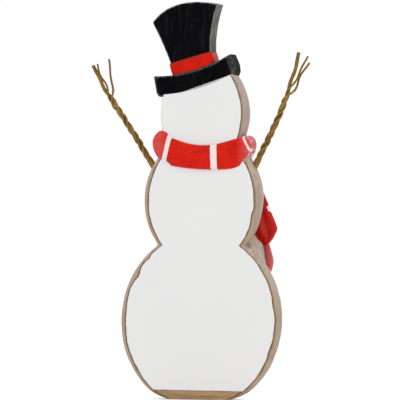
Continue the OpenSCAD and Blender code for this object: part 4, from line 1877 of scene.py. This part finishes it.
@dataclass
class Studio:
    """A pale floor, soft light and the camera."""

    azimuth: float = 194.3
    elevation: float = 1.0
    distance: float = 4.0
    target: tuple[float, float, float] = (0.00587, 0.0015, 0.2505)
    lens: float = 285.1
    floor_r: float = 4.0
    floor_z: float = -0.0004
    sky: float = 1.0
    lamps: tuple[Lamp, ...] = (
        Lamp("key_box", 165.0, 48.0, 1.7, 0.7, 2.2),
        Lamp("side_box", 245.0, 35.0, 1.8, 0.6, 2.6),
        Lamp("front_box", 20.0, 35.0, 1.8, 1.0, 4.0),
    )

    def towards(self, azimuth: float, elevation: float) -> Vector:
        """Gives the direction from the figure to something at that azimuth and elevation."""
        a, e = math.radians(azimuth), math.radians(elevation)
        return Vector((math.sin(a) * math.cos(e), -math.cos(a) * math.cos(e), math.sin(e)))

    def aimed(self, obj: bpy.types.Object, away: Vector, distance: float) -> None:
        """Puts a lamp or the camera at a distance and turns it to the figure.

        Args:
            obj: the lamp or the camera.
            away: the direction from the figure to it.
            distance: how far off it stands.
        """
        bpy.context.scene.collection.objects.link(obj)
        obj.location = Vector(self.target) + away * distance
        obj.rotation_mode = "QUATERNION"
        obj.rotation_quaternion = (-away).to_track_quat("-Z", "Y")

    def floor(self) -> None:
        """Lays the floor as one wide disc."""
        angle = np.linspace(0.0, 2 * math.pi, 96, endpoint=False)
        ring = np.column_stack([np.cos(angle), np.sin(angle), np.zeros_like(angle)]) * self.floor_r
        ring[:, 2] = self.floor_z
        mesh = bpy.data.meshes.new("floor")
        mesh.from_pydata(ring.tolist(), [], [tuple(range(len(ring)))])
        obj = bpy.data.objects.new("floor", mesh)
        mesh.materials.append(FloorPaper().material())
        bpy.context.scene.collection.objects.link(obj)

    def build(self) -> None:
        """Makes the floor, the lamps, the sky and the camera."""
        scene = bpy.context.scene
        camera = bpy.data.objects.new("camera", bpy.data.cameras.new("camera"))
        camera.data.sensor_width = 36.0
        camera.data.lens = self.lens
        self.aimed(camera, self.towards(self.azimuth, self.elevation), self.distance)
        scene.camera = camera
        for lamp in self.lamps:
            data = bpy.data.lights.new(lamp.name, "AREA")
            data.size = lamp.size
            data.energy = lamp.power
            away = self.towards(lamp.azimuth, lamp.elevation)
            self.aimed(bpy.data.objects.new(lamp.name, data), away, lamp.distance)
        world = bpy.data.worlds.new("soft_sky")
        world.use_nodes = True
        world.node_tree.nodes["Background"].inputs["Color"].default_value = (1.0, 1.0, 1.0, 1.0)
        world.node_tree.nodes["Background"].inputs["Strength"].default_value = self.sky
        scene.world = world
        scene.view_settings.view_transform = "Standard"
        self.floor()


def dress_kept_nodes() -> None:
    """Gives the CAD nodes that stay in view their finishes."""
    for node, finish in (("hat_dowels", PlainWood()), ("scarf_brads", BradSteel())):
        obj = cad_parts[node]
        obj.data.materials.clear()
        obj.data.materials.append(finish.material())
        LOG.info("%s: kept from the CAD model", node)


def main() -> None:
    """Builds the studio and the whole figure in order."""
    logging.basicConfig(level=logging.INFO, format="%(name)s: %(message)s")
    Studio().build()
    hat, arms = Hat(), (left_arm(), right_arm())
    board = Board()
    board.build(hat, arms)
    hat.build()
    Scarf().build()
    Face().build(board)
    bark = VineBark().material()
    for arm in arms:
        arm.build(bark)
    dress_kept_nodes()


if __name__ == "__main__":
    main()
